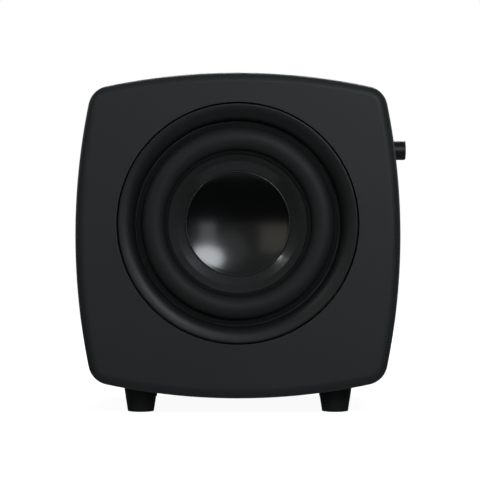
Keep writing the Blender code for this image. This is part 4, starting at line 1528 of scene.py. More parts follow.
@dataclass
class Driver:
    """The woofer: trim ring, roll surround, cone, dished cap, spider and its braided leads."""

    axis: Axis
    steps: int = 128
    trim_radius: float = 0.1149
    trim_shoulder: float = 0.1139
    trim_lip: float = 0.0983
    trim_fall: float = 0.0137
    trim_curve: float = 2.35
    trim_tilt: float = 0.10
    trim_back: float = 0.0185
    trim_shell: float = 0.0025
    roll_outer: float = 0.0925
    roll_inner: float = 0.0706
    roll_height: float = 0.0090
    flange_outer: float = 0.0972
    flange_inner: float = 0.0668
    flange_face: float = 0.0127
    rubber: float = 0.0010
    cap_radius: float = 0.0500
    cap_bowl: float = 0.150
    cap_depth: float = 0.0203
    cap_thickness: float = 0.0010
    former_radius: float = 0.0195
    spider_radius: float = 0.0640
    spider_depth: float = 0.0515
    spider_folds: int = 8
    fold_height: float = 0.0012
    cone_edge_start: float = 0.0605

    def make_trim(self) -> bpy.types.Object:
        """Models the ring whose front rounds over from the face down to its inner lip.

        Returns:
            The finished piece.
        """
        width = self.trim_shoulder - self.trim_lip
        shares = [math.sin(math.pi / 2 * i / 24) for i in range(25)]
        falls = [1 - (1 - share**self.trim_curve) ** (1 / self.trim_curve) for share in shares]
        falls = [self.trim_tilt * a + (1 - self.trim_tilt) * b for a, b in zip(shares, falls)]
        front = [(self.trim_shoulder - width * a, self.trim_fall * b) for a, b in zip(shares, falls)]
        shell = width - self.trim_shell
        depth = self.trim_fall - self.trim_shell
        inside = [
            (self.trim_shoulder - 0.0010 - shell * shares[i], self.trim_shell + depth * falls[i])
            for i in (0, 6, 12, 16, 20, 22, 24)
        ]
        wall = [
            (self.trim_radius - 0.0030, self.trim_back),
            (self.trim_radius, self.trim_back),
            (self.trim_radius, 0.0012),
            (self.trim_radius - 0.0002, 0.0006),
            (self.trim_radius - 0.0005, 0.0002),
        ]
        made = Workpiece.turned("trim_moulding", self.axis, front + inside[::-1] + wall, 192)
        return made.shade(50.0).paint(TRIM_BLACK.material()).fit("cabinet", TRIM_BLACK.slot, "trim_ring")

    def make_surround(self) -> bpy.types.Object:
        """Models the half-roll edge with its flanges.

        Returns:
            The finished piece.
        """
        middle = (self.roll_outer + self.roll_inner) / 2
        half = (self.roll_outer - self.roll_inner) / 2
        back = self.flange_face + self.rubber
        turns = [math.pi * i / 28 for i in range(29)]
        upper = [
            (middle + half * math.cos(t), self.flange_face - self.roll_height * math.sin(t)) for t in turns
        ]
        inner = half - self.rubber
        lower = [(middle + inner * math.cos(t), back - self.roll_height * math.sin(t)) for t in turns]
        edge = (self.flange_outer, self.flange_face)
        lip = [(self.flange_inner, self.flange_face + 0.0004), (self.flange_inner, back)]
        profile = [edge, *upper, (self.flange_inner + 0.0006, self.flange_face), *lip, *lower[::-1]]
        profile.append((self.flange_outer, back))
        made = Workpiece.turned("roll_surround", self.axis, profile, self.steps)
        made.shade(60.0).paint(ROLL_RUBBER.material())
        # The flanges beside the roll take the darker rubber: painted shade in those recesses.
        flat = (self.roll_inner + 0.0002, self.roll_outer - 0.0003)
        made.paint_part(SHADED_FLANGE_RUBBER.material(), lambda at: not flat[0] < self.axis.radius_of(at) < flat[1])
        self.bend_by_radius(made.object, self.roll_outer, self.roll_inner)
        return made.settle(ROLL_RUBBER.slot, "surround")

    def bend_by_radius(self, piece: bpy.types.Object, outer: float, inner: float) -> None:
        """Bakes a round piece's place into its mesh; each point's share between two radii is worked out but
        not applied.

        Args:
            piece: the piece.
            outer: the radius where the share is 0.
            inner: the radius where the share is 1.
        """
        self.axis.place(outer, 0.0)
        self.axis.place(inner, 0.0)
        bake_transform(piece)
        for vertex in piece.data.vertices:
            share = (outer - self.axis.radius_of(vertex.co)) / (outer - inner)
            share = min(max(share, 0.0), 1.0)

    def make_cone(self) -> bpy.types.Object:
        """Models the cone as a smooth flare from its lip down to the voice coil's former.

        Returns:
            The finished piece.
        """
        outer = [(0.0700, 0.0141), (0.0690, 0.0141), (0.0675, 0.0143), (0.0660, 0.0147), (0.0640, 0.0154)]
        flare = [(0.0620, 0.0162), (0.0600, 0.0171), (0.0550, 0.0193), (0.0502, 0.0215), (0.0440, 0.0245)]
        front = [*outer, *flare, (0.0350, 0.0292), (0.0260, 0.0342), (0.0198, 0.0375)]
        back = [(radius, depth + 0.0011) for radius, depth in front]
        made = Workpiece.turned("cone_body", self.axis, front + back[::-1], self.steps)
        made.shade(50.0).paint(CONE_COAT.material())
        made.paint_part(CONE_EDGE.material(), lambda at: self.axis.radius_of(at) > self.cone_edge_start)
        return made.fit("cone", CONE_COAT.slot, "cone")

    def make_cap(self) -> bpy.types.Object:
        """Models the dished cap with its thin raised rim.

        Returns:
            The finished piece.
        """
        rim = self.cap_depth
        rings = [self.cap_radius * i / 24 for i in range(24)]
        bowl = [(r, rim + (self.cap_radius**2 - r * r) / (2 * self.cap_bowl)) for r in rings]
        bead = [
            (self.cap_radius - 0.0004, rim),
            (self.cap_radius - 0.0001, rim - 0.0001),
            (self.cap_radius + 0.0003, rim - 0.0001),
            (self.cap_radius + 0.0006, rim + 0.0001),
            (self.cap_radius + 0.0008, rim + 0.0006),
        ]
        back = [(r, depth + self.cap_thickness) for r, depth in bowl[::-1]]
        made = Workpiece.turned("dished_cap", self.axis, bowl + bead + back, self.steps, closed=False)
        made.shade(60.0).paint(BOWL_GLOSS.material())
        # The rim takes the lighter colour, a painted highlight along the cap's edge.
        made.paint_part(BOWL_EDGE_HIGHLIGHT.material(), lambda at: self.axis.radius_of(at) > self.cap_radius - 0.0005)
        return made.fit("cone", BOWL_GLOSS.slot, "dust_cap")

    def make_spider(self) -> bpy.types.Object:
        """Models the corrugated disc that centres the voice coil.

        Returns:
            The finished piece.
        """
        first = 0.0240
        last = 0.0580
        count = self.spider_folds * 8
        folds = []
        for i in range(count + 1):
            share = i / count
            wave = self.fold_height * math.cos(math.pi * share * self.spider_folds)
            folds.append((first + (last - first) * share, self.spider_depth - wave))
        inner = self.former_radius + 0.0003
        rim = (self.spider_radius, self.spider_depth + 0.0004)
        front = [(inner, self.spider_depth - 0.0010), *folds, rim]
        back = [(radius, depth + 0.0008) for radius, depth in front]
        made = Workpiece.turned("centring_spider", self.axis, front + back[::-1], 96)
        made.shade(60.0).paint(RESIN_CLOTH.material())
        self.bend_by_radius(made.object, self.spider_radius - 0.0040, inner)
        return made.settle(RESIN_CLOTH.slot, "spider")

    def make_leads(self) -> list[bpy.types.Object]:
        """Models the two braided leads from the terminals to the cone.

        Returns:
            The finished pieces.
        """
        route = [
            (-0.0885, 0.0115, 0.0395),
            (-0.0875, 0.0165, 0.0388),
            (-0.0790, 0.0225, 0.0388),
            (-0.0640, 0.0210, 0.0415),
            (-0.0490, 0.0150, 0.0385),
            (-0.0375, 0.0100, 0.0303),
        ]
        made = []
        for name, side in (("upper", 1), ("lower", -1)):
            points = [self.axis.origin + Vector((x, depth, side * rise)) for x, rise, depth in route]
            lead = Workpiece.wire(f"braided_lead_{name}", points, 0.0008)
            lead.shade(60.0).paint(ENAMELLED_COPPER.material())
            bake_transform(lead.object)
            made.append(lead.settle(ENAMELLED_COPPER.slot, f"tinsel_lead_{name}"))
        return made

    def build(self) -> list[bpy.types.Object]:
        """Builds the driver's pieces."""
        made = [self.make_trim(), self.make_surround(), self.make_cone(), self.make_cap(), self.make_spider()]
        return made + self.make_leads()


# ----------------------------------------------------------------------------------------------------
# Level control on the side
# ----------------------------------------------------------------------------------------------------


@dataclass
class LevelControl:
    """The knob on the cabinet's side and the ring that it stands in."""

    axis: Axis
    side_radius: float
    rise: float
    knob_radius: float = 0.0098
    knob_skirt: float = 0.0032
    stem_radius: float = 0.0060
    ring_inner: float = 0.0046
    ring_outer: float = 0.0108
    ring_height: float = 0.0010

    def make_ring(self) -> bpy.types.Object:
        """Models the ring against the side, tilted as the side is.

        Returns:
            The finished piece.
        """
        lean = math.asin(self.rise / self.side_radius)
        normal = Vector((math.cos(lean), 0.0, math.sin(lean)))
        tilted = Axis(self.axis.origin, normal, -BACK)
        top = self.ring_height + 0.0003
        profile = [
            (self.ring_inner, 0.0003),
            (self.ring_inner, top - 0.0002),
            (self.ring_inner + 0.0002, top),
            (self.ring_outer - 0.0006, top),
            (self.ring_outer - 0.0001, top - 0.0003),
            (self.ring_outer, 0.0003),
        ]
        made = Workpiece.turned("level_ring", tilted, profile, 64)
        return made.shade(30.0).paint(DARK_RING.material()).fit("cabinet", DARK_RING.slot, "level_bezel")

    def make_knob(self) -> bpy.types.Object:
        """Models the knob: grip, crowned end, stem, and an inlaid pointer line.

        Returns:
            The finished piece.
        """
        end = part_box("level_knob")[1].x - self.axis.origin.x
        crown = [
            (self.knob_radius * share, end - 0.0006 * share * share) for share in (0.0, 0.25, 0.5, 0.75, 0.88)
        ]
        profile = [
            *crown,
            (self.knob_radius - 0.0005, end - 0.0009),
            (self.knob_radius, end - 0.0016),
            (self.knob_radius, self.knob_skirt + 0.0004),
            (self.knob_radius - 0.0004, self.knob_skirt),
            (self.stem_radius, self.knob_skirt),
            (self.stem_radius, 0.0050),
            (0.0026, 0.0050),
            (0.0026, -0.0110),
            (0.0, -0.0110),
        ]
        made = Workpiece.turned("level_knob_grip", self.axis, profile, 96, closed=False)
        long = end - self.knob_skirt
        middle = self.axis.place(self.knob_radius, self.knob_skirt + long / 2)
        groove = Workpiece.block("groove", (long * 0.92, 0.0014, 0.0011), middle)
        made.cut(groove)
        made.shade(35.0).paint(BLACK_PLASTIC.material())
        bar = self.axis.place(self.knob_radius - 0.0004, self.knob_skirt + long / 2)
        pointer = Workpiece.block("pointer", (long * 0.90, 0.0007, 0.0009), bar)
        pointer.soften(0.0001, 1).paint(POINTER_PAINT.material())
        made.add(pointer)
        return made.fit("level_knob", BLACK_PLASTIC.slot, "level_knob")

    def build(self) -> list[bpy.types.Object]:
        """Builds the ring and the knob."""
        return [self.make_ring(), self.make_knob()]


# ----------------------------------------------------------------------------------------------------
# Amplifier panel
# ----------------------------------------------------------------------------------------------------


@dataclass
class AmplifierPanel:
    """The metal panel at the back with its heat sink, controls and sockets."""

    screw_spacing: Point2 = (0.158, 0.208)
    corner: float = 0.006
    gap: float = 0.0003
    fins: int = 11
    fin_thickness: float = 0.0018
    sink_base: float = 0.0030
    tick_count: int = 11
    dial_sweep: float = 300.0
    rocker_tilt: float = 10.0
    face: float = field(init=False)
    middle: Vector = field(init=False)

    def __post_init__(self) -> None:
        """Reads the panel's place from CAD."""
        self.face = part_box("heat_sink")[0].y - self.gap
        self.middle = middle_of("amp_panel")

    def outward_axis(self, node: str) -> Axis:
        """Gives the axis through a fitting's middle, from the panel's face outwards."""
        middle = middle_of(node)
        return Axis(Vector((middle.x, self.face + self.gap, middle.z)), BACK, UP)

    def make_panel(self) -> bpy.types.Object:
        """Models the panel with round corners, its openings and its inner pillars.

        Returns:
            The finished piece.
        """
        size = size_of("amp_panel")
        thickness = 0.0025
        rim = upright(rounded_rectangle(size.x, size.z, self.corner), self.middle, self.face - thickness)
        made = Workpiece.plate("amplifier_plate", rim, (0.0, thickness, 0.0))
        made.pick(Part.EDGE, lambda edge: all(abs(v.co.y - self.face) < HAIR for v in edge.verts))
        made.bevel(0.0006, 3)
        for node, width, height in (
            ("mains_inlet", 0.0276, 0.0201),
            ("power_switch_housing", 0.0136, 0.0196),
            ("phase_switch_body", 0.0126, 0.0068),
        ):
            middle = middle_of(node)
            made.cut(Workpiece.block("slot", (width, 0.020, height), (middle.x, self.face, middle.z)))
        holes = (("line_jack_left", 0.0050), ("line_jack_right", 0.0050), ("crossover_knob", 0.0040))
        for node, radius in holes:
            made.cut(Workpiece.bar("hole", self.outward_axis(node), radius, -0.010, 0.010, 40))
        for x, z in self.screw_places():
            axis = Axis(Vector((x, self.face, z)), BACK, UP)
            made.cut(Workpiece.bar("hole", axis, 0.0021, -0.010, 0.010, 24))
        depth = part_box("amp_panel")[0].y
        for x in (-0.064, 0.064):
            for z in (-0.012, 0.090):
                axis = Axis(self.middle + Vector((x, self.face - self.middle.y, z)), BACK, UP)
                made.fuse(Workpiece.bar("pillar", axis, 0.0030, depth - self.face, -0.0010, 24))
        made.shade(35.0, weighted=True).paint(POWDER_COAT.material())
        return made.fit("cabinet", POWDER_COAT.slot, "amp_panel")

    def screw_places(self) -> list[Point2]:
        """Gives the screws' places in the plane of the panel.

        Returns:
            The (across, up) places.
        """
        half_width = self.screw_spacing[0] / 2
        half_height = self.screw_spacing[1] / 2
        return [
            (self.middle.x + side * half_width, self.middle.z + rise * half_height)
            for side in (-1, 1)
            for rise in (-1, 1)
        ]

    def make_screws(self) -> list[bpy.types.Object]:
        """Models one screw and copies it to the panel's corners.

        Returns:
            The finished pieces.
        """
        places = self.screw_places()
        start = Vector((places[0][0], self.face + self.gap, places[0][1]))
        first = screw_with_cross("panel_screw_1", Axis(start, BACK, UP), 0.0036, 0.0020, 0.0120)
        first.paint(BLACK_STEEL.material())
        made = [first]
        for i, (x, z) in enumerate(places[1:], start=2):
            made.append(first.copied(f"panel_screw_{i}", (x - start.x, 0.0, z - start.z)))
        return [
            screw.fit("cabinet", BLACK_STEEL.slot, f"amp_panel_screw_{i}")
            for i, screw in enumerate(made, start=1)
        ]

    def make_heat_sink(self) -> bpy.types.Object:
        """Models one rounded fin, copies it along the base plate and joins them.

        Returns:
            The finished piece.
        """
        low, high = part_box("heat_sink")
        size = high - low
        middle = (low + high) / 2
        centre = (middle.x, low.y + self.sink_base / 2, middle.z)
        made = Workpiece.block("heat_sink_extrusion", (size.x, self.sink_base, size.z), centre)
        reach = size.y - self.sink_base
        x = low.x + self.fin_thickness / 2
        y = low.y + self.sink_base + reach / 2
        fin = Workpiece.block("fin", (self.fin_thickness, reach + 0.0010, size.z), (x, y - 0.0005, middle.z))
        fin.pick(
            Part.EDGE,
            lambda edge: all(v.co.y > high.y - HAIR for v in edge.verts)
            and abs(edge.verts[0].co.z - edge.verts[1].co.z) > HAIR,
        )
        fin.bevel(0.0006, 3)
        pitch = (size.x - self.fin_thickness) / (self.fins - 1)
        copies = [fin.copied("fin_copy", (pitch * i, 0.0, 0.0)) for i in range(1, self.fins)]
        made.fuse(fin, *copies)
        made.soften(0.0002, 1, 60.0)
        return made.shade(35.0).paint(ANODISED.material()).fit("cabinet", ANODISED.slot, "heat_sink")

    def make_inlet(self) -> bpy.types.Object:
        """Models the mains inlet: flange, keyed cavity and three blades.

        Returns:
            The finished piece.
        """
        middle = middle_of("mains_inlet")
        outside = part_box("mains_inlet")[1].y
        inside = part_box("mains_inlet")[0].y
        start = self.face + self.gap
        rim = upright(rounded_rectangle(0.0330, 0.0255, 0.0030), middle, start)
        made = Workpiece.plate("mains_socket", rim, (0.0, outside - start, 0.0))
        body = (0.0270, start + 0.0010 - inside, 0.0195)
        made.fuse(Workpiece.block("body", body, (middle.x, (start + 0.0010 + inside) / 2, middle.z)))
        half_width = 0.0120
        half_height = 0.00825
        key = 0.0042
        keyed = [
            (half_width, -half_height),
            (half_width, half_height - key),
            (half_width - key, half_height),
            (key - half_width, half_height),
            (-half_width, half_height - key),
            (-half_width, -half_height),
        ]
        floor = start - 0.0160
        made.cut(Workpiece.plate("cavity", upright(keyed, middle, floor), (0.0, 0.040, 0.0)))
        made.soften(0.0004, 2, 50.0).shade(35.0).paint(GLOSS_PLASTIC.material())
        centre = (middle.x, floor + 0.0075, middle.z + 0.0035)
        first = Workpiece.block("blade", (0.0020, 0.0160, 0.0040), centre)
        first.soften(0.0004, 2).paint(NICKEL.material())
        blades = [first.copied("blade_copy", (side * 0.0070, 0.0, -0.0070)) for side in (-1, 1)]
        return made.add(first, *blades).fit("cabinet", GLOSS_PLASTIC.slot, "mains_inlet")

    def make_switch(self) -> list[bpy.types.Object]:
        """Models the rocker switch's frame and its rocker with a bar and a ring on it.

        Returns:
            The finished pieces.
        """
        middle = middle_of("power_switch_housing")
        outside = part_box("power_switch_housing")[1].y
        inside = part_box("power_switch_housing")[0].y
        start = self.face + self.gap
        rim = upright(rounded_rectangle(0.0165, 0.0225, 0.0015), middle, start)
        made = Workpiece.plate("switch_frame", rim, (0.0, outside - start, 0.0))
        body = (0.0130, start + 0.0010 - inside, 0.0190)
        made.fuse(Workpiece.block("body", body, (middle.x, (start + 0.0010 + inside) / 2, middle.z)))
        made.cut(Workpiece.block("cavity", (0.0108, 0.0120, 0.0168), (middle.x, start, middle.z)))
        made.soften(0.0003, 2, 50.0).shade(35.0).paint(GLOSS_PLASTIC.material())
        frame_piece = made.fit("cabinet", GLOSS_PLASTIC.slot, "power_switch_housing")

        pivot = Axis(Vector((middle.x, start - 0.0012, middle.z)), RIGHT, UP)
        hollow = [(0.0074 - 0.0148 * i / 12, 0.0055 - 0.0013 * math.sin(math.pi * i / 12)) for i in range(13)]
        section = [*hollow, (-0.0074, 0.0010), (-0.0035, -0.0030), (0.0035, -0.0030), (0.0074, 0.0010)]
        rim = [pivot.origin + Vector((-0.0050, out, up)) for up, out in section]
        rocker = Workpiece.plate("switch_rocker", rim, (0.0100, 0.0, 0.0))
        rocker.soften(0.0004, 2, 35.0).shade(30.0).paint(GLOSS_PLASTIC.material())
        face = 0.0046
        centre = pivot.origin + Vector((0.0, face + 0.0003, 0.0045))
        on_mark = Workpiece.block("on_mark", (0.0005, 0.0004, 0.0028), centre)
        mark_axis = Axis(pivot.origin + Vector((0.0, face, -0.0045)), BACK, UP)
        ring = [(0.0011, 0.0), (0.0015, 0.0), (0.0015, 0.0005), (0.0011, 0.0005)]
        off_mark = Workpiece.turned("off_mark", mark_axis, ring, 32)
        for mark in (on_mark, off_mark):
            mark.paint(PANEL_PRINT.material())
        rocker.add(on_mark, off_mark)
        rocker.turn_about(pivot, self.rocker_tilt)
        return [frame_piece, rocker.fit("power_rocker", GLOSS_PLASTIC.slot, "power_rocker")]

    def make_jacks(self) -> list[bpy.types.Object]:
        """Models each line socket with its coloured insulator.

        Returns:
            The finished pieces.
        """
        made = []
        for name, colour in (("line_jack_left", JACK_WHITE), ("line_jack_right", JACK_RED)):
            axis = self.outward_axis(name)
            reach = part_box(name)[1].y - axis.origin.y
            barrel = [
                (0.0033, -0.0120),
                (0.0046, -0.0120),
                (0.0046, 0.0000),
                (0.0062, 0.0000),
                (0.0062, 0.0004),
                (0.0042, 0.0004),
                (0.0042, reach - 0.0006),
                (0.0039, reach),
                (0.0035, reach),
                (0.0033, reach - 0.0004),
            ]
            shell = Workpiece.turned(name + "_barrel", axis, barrel, 48)
            nut = Workpiece.bar("nut", axis, 0.0066, 0.0003, 0.0014, 6)
            nut.cut(Workpiece.bar("nut_hole", axis, 0.0043, -0.001, 0.003, 48)).soften(0.0002, 1)
            shell.add(nut).shade(35.0).paint(NICKEL.material())
            made.append(shell.fit("cabinet", NICKEL.slot, name))
            core = [
                (0.0013, -0.0080),
                (0.0032, -0.0080),
                (0.0032, reach - 0.0010),
                (0.0016, reach - 0.0010),
                (0.0013, reach - 0.0013),
            ]
            insert = Workpiece.turned(name + "_insulator", axis, core, 48)
            made.append(insert.shade(35.0).paint(colour.material()).fit("cabinet", colour.slot))
        return made

    def make_crossover_knob(self) -> bpy.types.Object:
        """Models the fluted crossover knob with its pointer.

        Returns:
            The finished piece.
        """
        axis = self.outward_axis("crossover_knob")
        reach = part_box("crossover_knob")[1].y - axis.origin.y
        flutes = 20
        rim = []
        for i in range(flutes * 4):
            radius = 0.0088 - (0.0005 if i % 4 in (1, 2) else 0.0)
            turn = math.tau * i / (flutes * 4)
            rim.append(axis.origin + Vector((radius * math.cos(turn), 0.0015, radius * math.sin(turn))))
        made = Workpiece.plate("crossover_grip", rim, (0.0, reach - 0.0021, 0.0))
        made.pick(Part.FACE, lambda face: face.normal.y > 0.99)
        bpy.ops.transform.resize(value=(0.94, 1.0, 0.94), center_override=axis.place(0.0, reach))
        made.inset(0.0007)
        bpy.ops.transform.translate(value=(0.0, 0.0006, 0.0))
        made.inset(0.0006)
        made.move((0.0, -0.0003, 0.0))
        groove = Workpiece.block("groove", (0.0010, 0.0016, 0.0042), axis.place(0.0055, reach))
        made.cut(groove)
        made.shade(25.0).paint(BLACK_PLASTIC.material())
        spindle = Workpiece.bar("spindle", axis, 0.0028, -0.0110, 0.0016, 24).paint(ZINC.material())
        line = Workpiece.block("line", (0.0008, 0.0006, 0.0038), axis.place(0.0055, reach - 0.0006))
        line.paint(PANEL_PRINT.material())
        return made.add(spindle, line).fit("crossover_knob", BLACK_PLASTIC.slot, "crossover_knob")

    def make_dial(self) -> bpy.types.Object:
        """Models the printed scale: one tick, copied round the crossover knob.

        Returns:
            The finished piece.
        """
        axis = self.outward_axis("crossover_knob")
        face = self.face - axis.origin.y
        first = Workpiece.block("dial_scale", (0.0005, 0.00016, 0.0022), axis.place(0.0120, face))
        start = -self.dial_sweep / 2
        copies = []
        for i in range(1, self.tick_count):
            tick = first.copied("tick")
            copies.append(tick.turn_about(axis, start + self.dial_sweep * i / (self.tick_count - 1)))
        first.turn_about(axis, start)
        first.add(*copies)
        return first.paint(PANEL_PRINT.material()).fit("cabinet", PANEL_PRINT.slot)

    def make_phase_switch(self) -> list[bpy.types.Object]:
        """Models the slide switch's plate with its slot and rivets, and its ribbed slider.

        Returns:
            The finished pieces.
        """
        middle = middle_of("phase_switch_body")
        low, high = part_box("phase_switch_body")
        start = self.face + self.gap
        plate = (0.0180, high.y - start, 0.0100)
        made = Workpiece.block("phase_plate", plate, (middle.x, (high.y + start) / 2, middle.z))
        body = (0.0120, start + 0.0006 - low.y, 0.0062)
        made.fuse(Workpiece.block("body", body, (middle.x, (start + 0.0006 + low.y) / 2, middle.z)))
        made.cut(Workpiece.block("pocket", (0.0100, 0.0080, 0.0046), (middle.x, start, middle.z)))
        made.soften(0.0003, 2, 50.0)
        rivets = []
        for side in (-1, 1):
            axis = Axis(Vector((middle.x + side * 0.0072, high.y - 0.0001, middle.z)), BACK, UP)
            dome = [(0.0, 0.0007), (0.0005, 0.00062), (0.0009, 0.0004), (0.0011, 0.0), (0.0, 0.0)]
            rivets.append(Workpiece.turned("rivet", axis, dome, 24, closed=False))
        made.add(*rivets).shade(35.0).paint(ZINC.material())
        plate_piece = made.fit("cabinet", ZINC.slot, "phase_switch_body")

        low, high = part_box("phase_slider")
        size = high - low
        slider = Workpiece.block("phase_thumb", size, (low + high) / 2)
        for share in (0.25, 0.5, 0.75):
            notch = (low.x + size.x * share, high.y, (low.z + high.z) / 2)
            slider.cut(Workpiece.block("notch", (0.0004, 0.0008, 0.0100), notch))
        slider.soften(0.0002, 1, 50.0).shade(30.0).paint(GLOSS_PLASTIC.material())
        return [plate_piece, slider.fit("phase_slider", GLOSS_PLASTIC.slot, "phase_slider")]

    def build(self) -> list[bpy.types.Object]:
        """Builds the panel and everything on it.

        Returns:
            The finished pieces.
        """
        made = [self.make_panel(), *self.make_screws(), self.make_heat_sink(), self.make_inlet()]
        made += [*self.make_switch(), *self.make_jacks(), self.make_crossover_knob(), self.make_dial()]
        return made + self.make_phase_switch()


# ----------------------------------------------------------------------------------------------------
# Feet
# ----------------------------------------------------------------------------------------------------


@dataclass
class Feet:
    """Four tapered feet with rubber pads in their bases."""

    cabinet: Cabinet
    bottom_radius: float = 0.0126
    taper: float = 0.155
    top: float = 0.0330
    base: float = 0.0004

    def make_foot(self, name: str, axis: Axis) -> Workpiece:
        """Models a foot that fits the cabinet's bowed underside.

        Args:
            name: the piece's name.
            axis: its upright axis, from the floor.

        Returns:
            The workpiece.
        """
        profile = [
            (0.0024, self.top),
            (self.bottom_radius + self.taper * self.top, self.top),
            (self.bottom_radius + self.taper * 0.0010, self.base + 0.0006),
            (self.bottom_radius, self.base + 0.0003),
            (self.bottom_radius - 0.0002, self.base + 0.0001),
            (self.bottom_radius - 0.0005, self.base),
            (0.0105, self.base),
            (0.0105, 0.0030),
            (0.0050, 0.0030),
            (0.0050, 0.0080),
            (0.0024, 0.0080),
        ]
        made = Workpiece.turned(name, axis, profile, 64)
        envelope = self.cabinet.envelope(
            "envelope", -self.cabinet.gap, self.cabinet.front - 0.010, self.cabinet.back + 0.010
        )
        return made.cut(envelope).shade(40.0).paint(FOOT_PLASTIC.material())

    def make_pad(self, name: str, axis: Axis) -> Workpiece:
        """Models a rubber pad with a rounded edge and a shallow dish.

        Args:
            name: the piece's name.
            axis: its upright axis, from the floor.

        Returns:
            The workpiece.
        """
        profile = [
            (0.0, 0.0027),
            (0.0102, 0.0027),
            (0.0102, 0.0008),
            (0.0100, 0.0003),
            (0.0095, 0.0),
            (0.0070, 0.0),
            (0.0066, 0.0003),
            (0.0, 0.0003),
        ]
        made = Workpiece.turned(name, axis, profile, 48, closed=False)
        return made.shade(40.0).paint(PAD_RUBBER.material())

    def build(self) -> list[bpy.types.Object]:
        """Models each left foot and its pad, and copies them to the right with the foot turned half round.

        Returns:
            The finished pieces.
        """
        made = []
        for end in ("front", "rear"):
            left = middle_of(f"foot_pad_{end}_left")
            axis = Axis(Vector((left.x, left.y, 0.0)), UP, RIGHT)
            shift = (2 * (self.cabinet.middle.x - left.x), 0.0, 0.0)
            foot = self.make_foot(f"foot_cone_{end}_left", axis)
            pad = self.make_pad(f"foot_rubber_{end}_left", axis)
            far_foot = foot.copied(f"foot_cone_{end}_right").turn_about(axis, 180.0).shift(shift)
            far_pad = pad.copied(f"foot_rubber_{end}_right", shift)
            for side, this_foot, this_pad in (("left", foot, pad), ("right", far_foot, far_pad)):
                made.append(this_foot.fit("cabinet", FOOT_PLASTIC.slot, f"foot_{end}_{side}"))
                made.append(this_pad.fit("cabinet", PAD_RUBBER.slot, f"foot_pad_{end}_{side}"))
        return made


# ----------------------------------------------------------------------------------------------------
# Studio
# ----------------------------------------------------------------------------------------------------


@dataclass(frozen=True)
class Softbox:
    """An area light that looks at the object."""

    name: str
    azimuth: float
    elevation: float
    distance: float
    width: float
    height: float
    power: float
    colour: tuple[float, float, float] = (1.0, 1.0, 1.0)
    shape: str = "RECTANGLE"

    def place(self, target: Vector) -> bpy.types.Object:
        """Adds the light.

        Args:
            target: the point that it looks at.

        Returns:
            The light's object.
        """
        turn = math.radians(self.azimuth)
        rise = math.radians(self.elevation)
        away = Vector((math.sin(turn) * math.cos(rise), -math.cos(turn) * math.cos(rise), math.sin(rise)))
        where = target + away * self.distance
        bpy.ops.object.light_add(type="AREA", location=where)
        made = bpy.context.object
        made.name = self.name
        made.rotation_euler = away.to_track_quat("Z", "Y").to_euler()
        made.data.shape = self.shape
        made.data.size = self.width
        made.data.size_y = self.height
        made.data.energy = self.power
        made.data.color = self.colour
        made.visible_camera = False
        return made


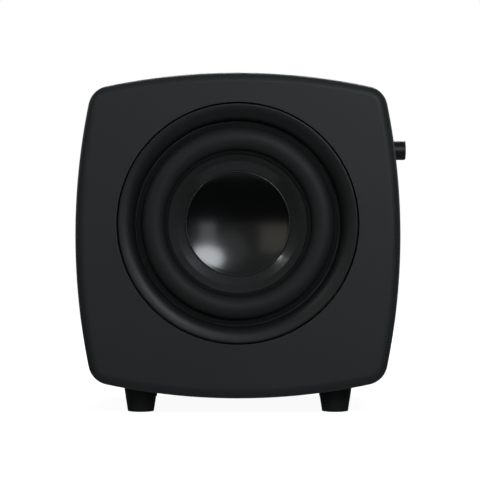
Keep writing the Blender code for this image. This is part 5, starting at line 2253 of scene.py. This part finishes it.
@dataclass
class Studio:
    """The floor, the lights, the white surround and the camera."""

    camera_place: Vector = field(default_factory=lambda: Vector((-0.0046, -2.357, 0.1668)))
    lens: float = 172.9
    aim: Vector = field(default_factory=lambda: Vector((0.0, 0.0, 0.17)))
    floor_reach: float = 30.0
    ambient: float = 0.030
    light_below: float = 0.18
    light_above: float = 0.05
    boxes: tuple[Softbox, ...] = (
        Softbox("key", 20.0, 21.5, 1.5, 0.54, 0.38, 5.6, (0.90, 0.96, 1.0), "ELLIPSE"),
        Softbox("key_column", 19.0, 7.5, 2.0, 0.34, 0.52, 0.80, (0.88, 0.95, 1.0)),
        Softbox("key_halo", 5.0, 17.0, 2.4, 0.95, 0.95, 0.65, (0.94, 0.99, 1.0), "ELLIPSE"),
        Softbox("front_wash", 0.0, 19.0, 2.6, 3.9, 1.8, 4.6),
        Softbox("warm_fill", -25.0, 10.0, 2.0, 0.72, 0.60, 0.85, (1.0, 0.96, 0.74)),
        Softbox("left_spot", -41.0, 29.0, 1.8, 0.20, 0.20, 2.6, (0.92, 0.98, 1.0)),
        Softbox("overhead", 180.0, 72.0, 1.8, 1.4, 1.4, 1.2),
        Softbox("left_side", -128.0, 14.0, 2.0, 1.0, 1.4, 3.6),
        Softbox("right_side", 130.0, 14.0, 2.0, 1.0, 1.4, 3.6),
        Softbox("behind", 176.0, 36.0, 2.0, 0.9, 0.9, 30.0, (0.97, 0.99, 1.0)),
    )

    def make_floor(self) -> bpy.types.Object:
        """Lays the pale floor, which glows white far away and a little dimmer near the object as painted
        shade, and takes a faint shadow there.

        Returns:
            The floor.
        """
        bpy.ops.mesh.primitive_plane_add(size=self.floor_reach * 2)
        floor = bpy.context.object
        floor.name = "floor"
        made = bpy.data.materials.new("pale_floor")
        made.use_nodes = True
        graph = Graph(made.node_tree)
        at = graph.add("ShaderNodeTexCoord").outputs["Object"]
        length = graph.add("ShaderNodeVectorMath", {0: at}, operation="LENGTH").outputs["Value"]
        # The glow fades from white far out to a little dimmer near the object: painted shade around it.
        far = graph.window(length, 0.4, 2.0)
        glow = graph.add(
            "ShaderNodeEmission", {"Color": (1.0, 1.0, 1.0, 1.0), "Strength": graph.spread(far, 0.94, 1.0)}
        )
        mottle = graph.noise(at, 4.0, 3.0)
        grey = graph.add("ShaderNodeCombineColor", {i: graph.spread(mottle, 0.28, 0.32) for i in range(3)})
        body = graph.add("ShaderNodeBsdfDiffuse", {"Color": grey.outputs[0]})
        both = graph.add("ShaderNodeAddShader", {0: glow.outputs[0], 1: body.outputs[0]})
        graph.add("ShaderNodeOutputMaterial", {"Surface": both.outputs[0]})
        floor.data.materials.append(made)
        floor.visible_diffuse = False
        floor.visible_glossy = False
        return floor

    def make_surround(self) -> None:
        """Makes the world white where the camera sees it and dim as a light."""
        world = bpy.data.worlds.new("white_surround")
        bpy.context.scene.world = world
        world.use_nodes = True
        graph = Graph(world.node_tree)
        seen = graph.add("ShaderNodeLightPath").outputs["Is Camera Ray"]
        way = graph.add("ShaderNodeTexCoord").outputs["Generated"]
        rise = graph.add("ShaderNodeSeparateXYZ", {0: way}).outputs["Z"]
        below = graph.math("MULTIPLY", graph.window(rise, -0.50, -0.56), self.light_below)
        above = graph.math("MULTIPLY", graph.window(rise, 0.20, 1.00), self.light_above)
        strength = graph.math("ADD", graph.math("ADD", below, above), self.ambient)
        shine = graph.add("ShaderNodeBackground", {"Color": (0.92, 0.97, 1.0, 1.0), "Strength": strength})
        white = graph.add("ShaderNodeBackground", {"Color": (1.0, 1.0, 1.0, 1.0), "Strength": 1.0})
        both = graph.add("ShaderNodeMixShader", {0: seen, 1: shine.outputs[0], 2: white.outputs[0]})
        graph.add("ShaderNodeOutputWorld", {"Surface": both.outputs[0]})

    def make_camera(self) -> bpy.types.Object:
        """Sets up the level front camera.

        Returns:
            The camera.
        """
        bpy.ops.object.camera_add(location=self.camera_place, rotation=(math.pi / 2, 0.0, 0.0))
        camera = bpy.context.object
        camera.data.lens = self.lens
        camera.data.sensor_width = 36.0
        camera.data.clip_end = 200.0
        bpy.context.scene.camera = camera
        bpy.context.scene.view_settings.view_transform = "Standard"
        return camera

    def build(self) -> None:
        """Builds the studio."""
        self.make_camera()
        self.make_floor()
        self.make_surround()
        for box in self.boxes:
            box.place(self.aim)


# ----------------------------------------------------------------------------------------------------


def dress_inner_nodes() -> None:
    """Gives every CAD node the procedural finish of its own material slot."""
    for part in frame["record"]["subparts"]:
        node = frame["nodes"][part["node"]]
        for holder in node.material_slots:
            holder.material = NODE_FINISHES[part["material_slot"]].material()


def main() -> None:
    """Builds every sub-assembly in order."""
    logging.basicConfig(level=logging.INFO, format="%(message)s")
    Studio().build()
    dress_inner_nodes()
    cabinet = Cabinet()
    knob_axis = cabinet.knob_axis()
    assemblies = (
        cabinet,
        Driver(cabinet.driver_axis()),
        LevelControl(knob_axis, cabinet.outline.side_radius, knob_axis.origin.z - cabinet.middle.z),
        AmplifierPanel(),
        Feet(cabinet),
    )
    for assembly in assemblies:
        made = assembly.build()
        LOG.info("%s: %d pieces", type(assembly).__name__, len(made))


if __name__ == "__main__":
    main()
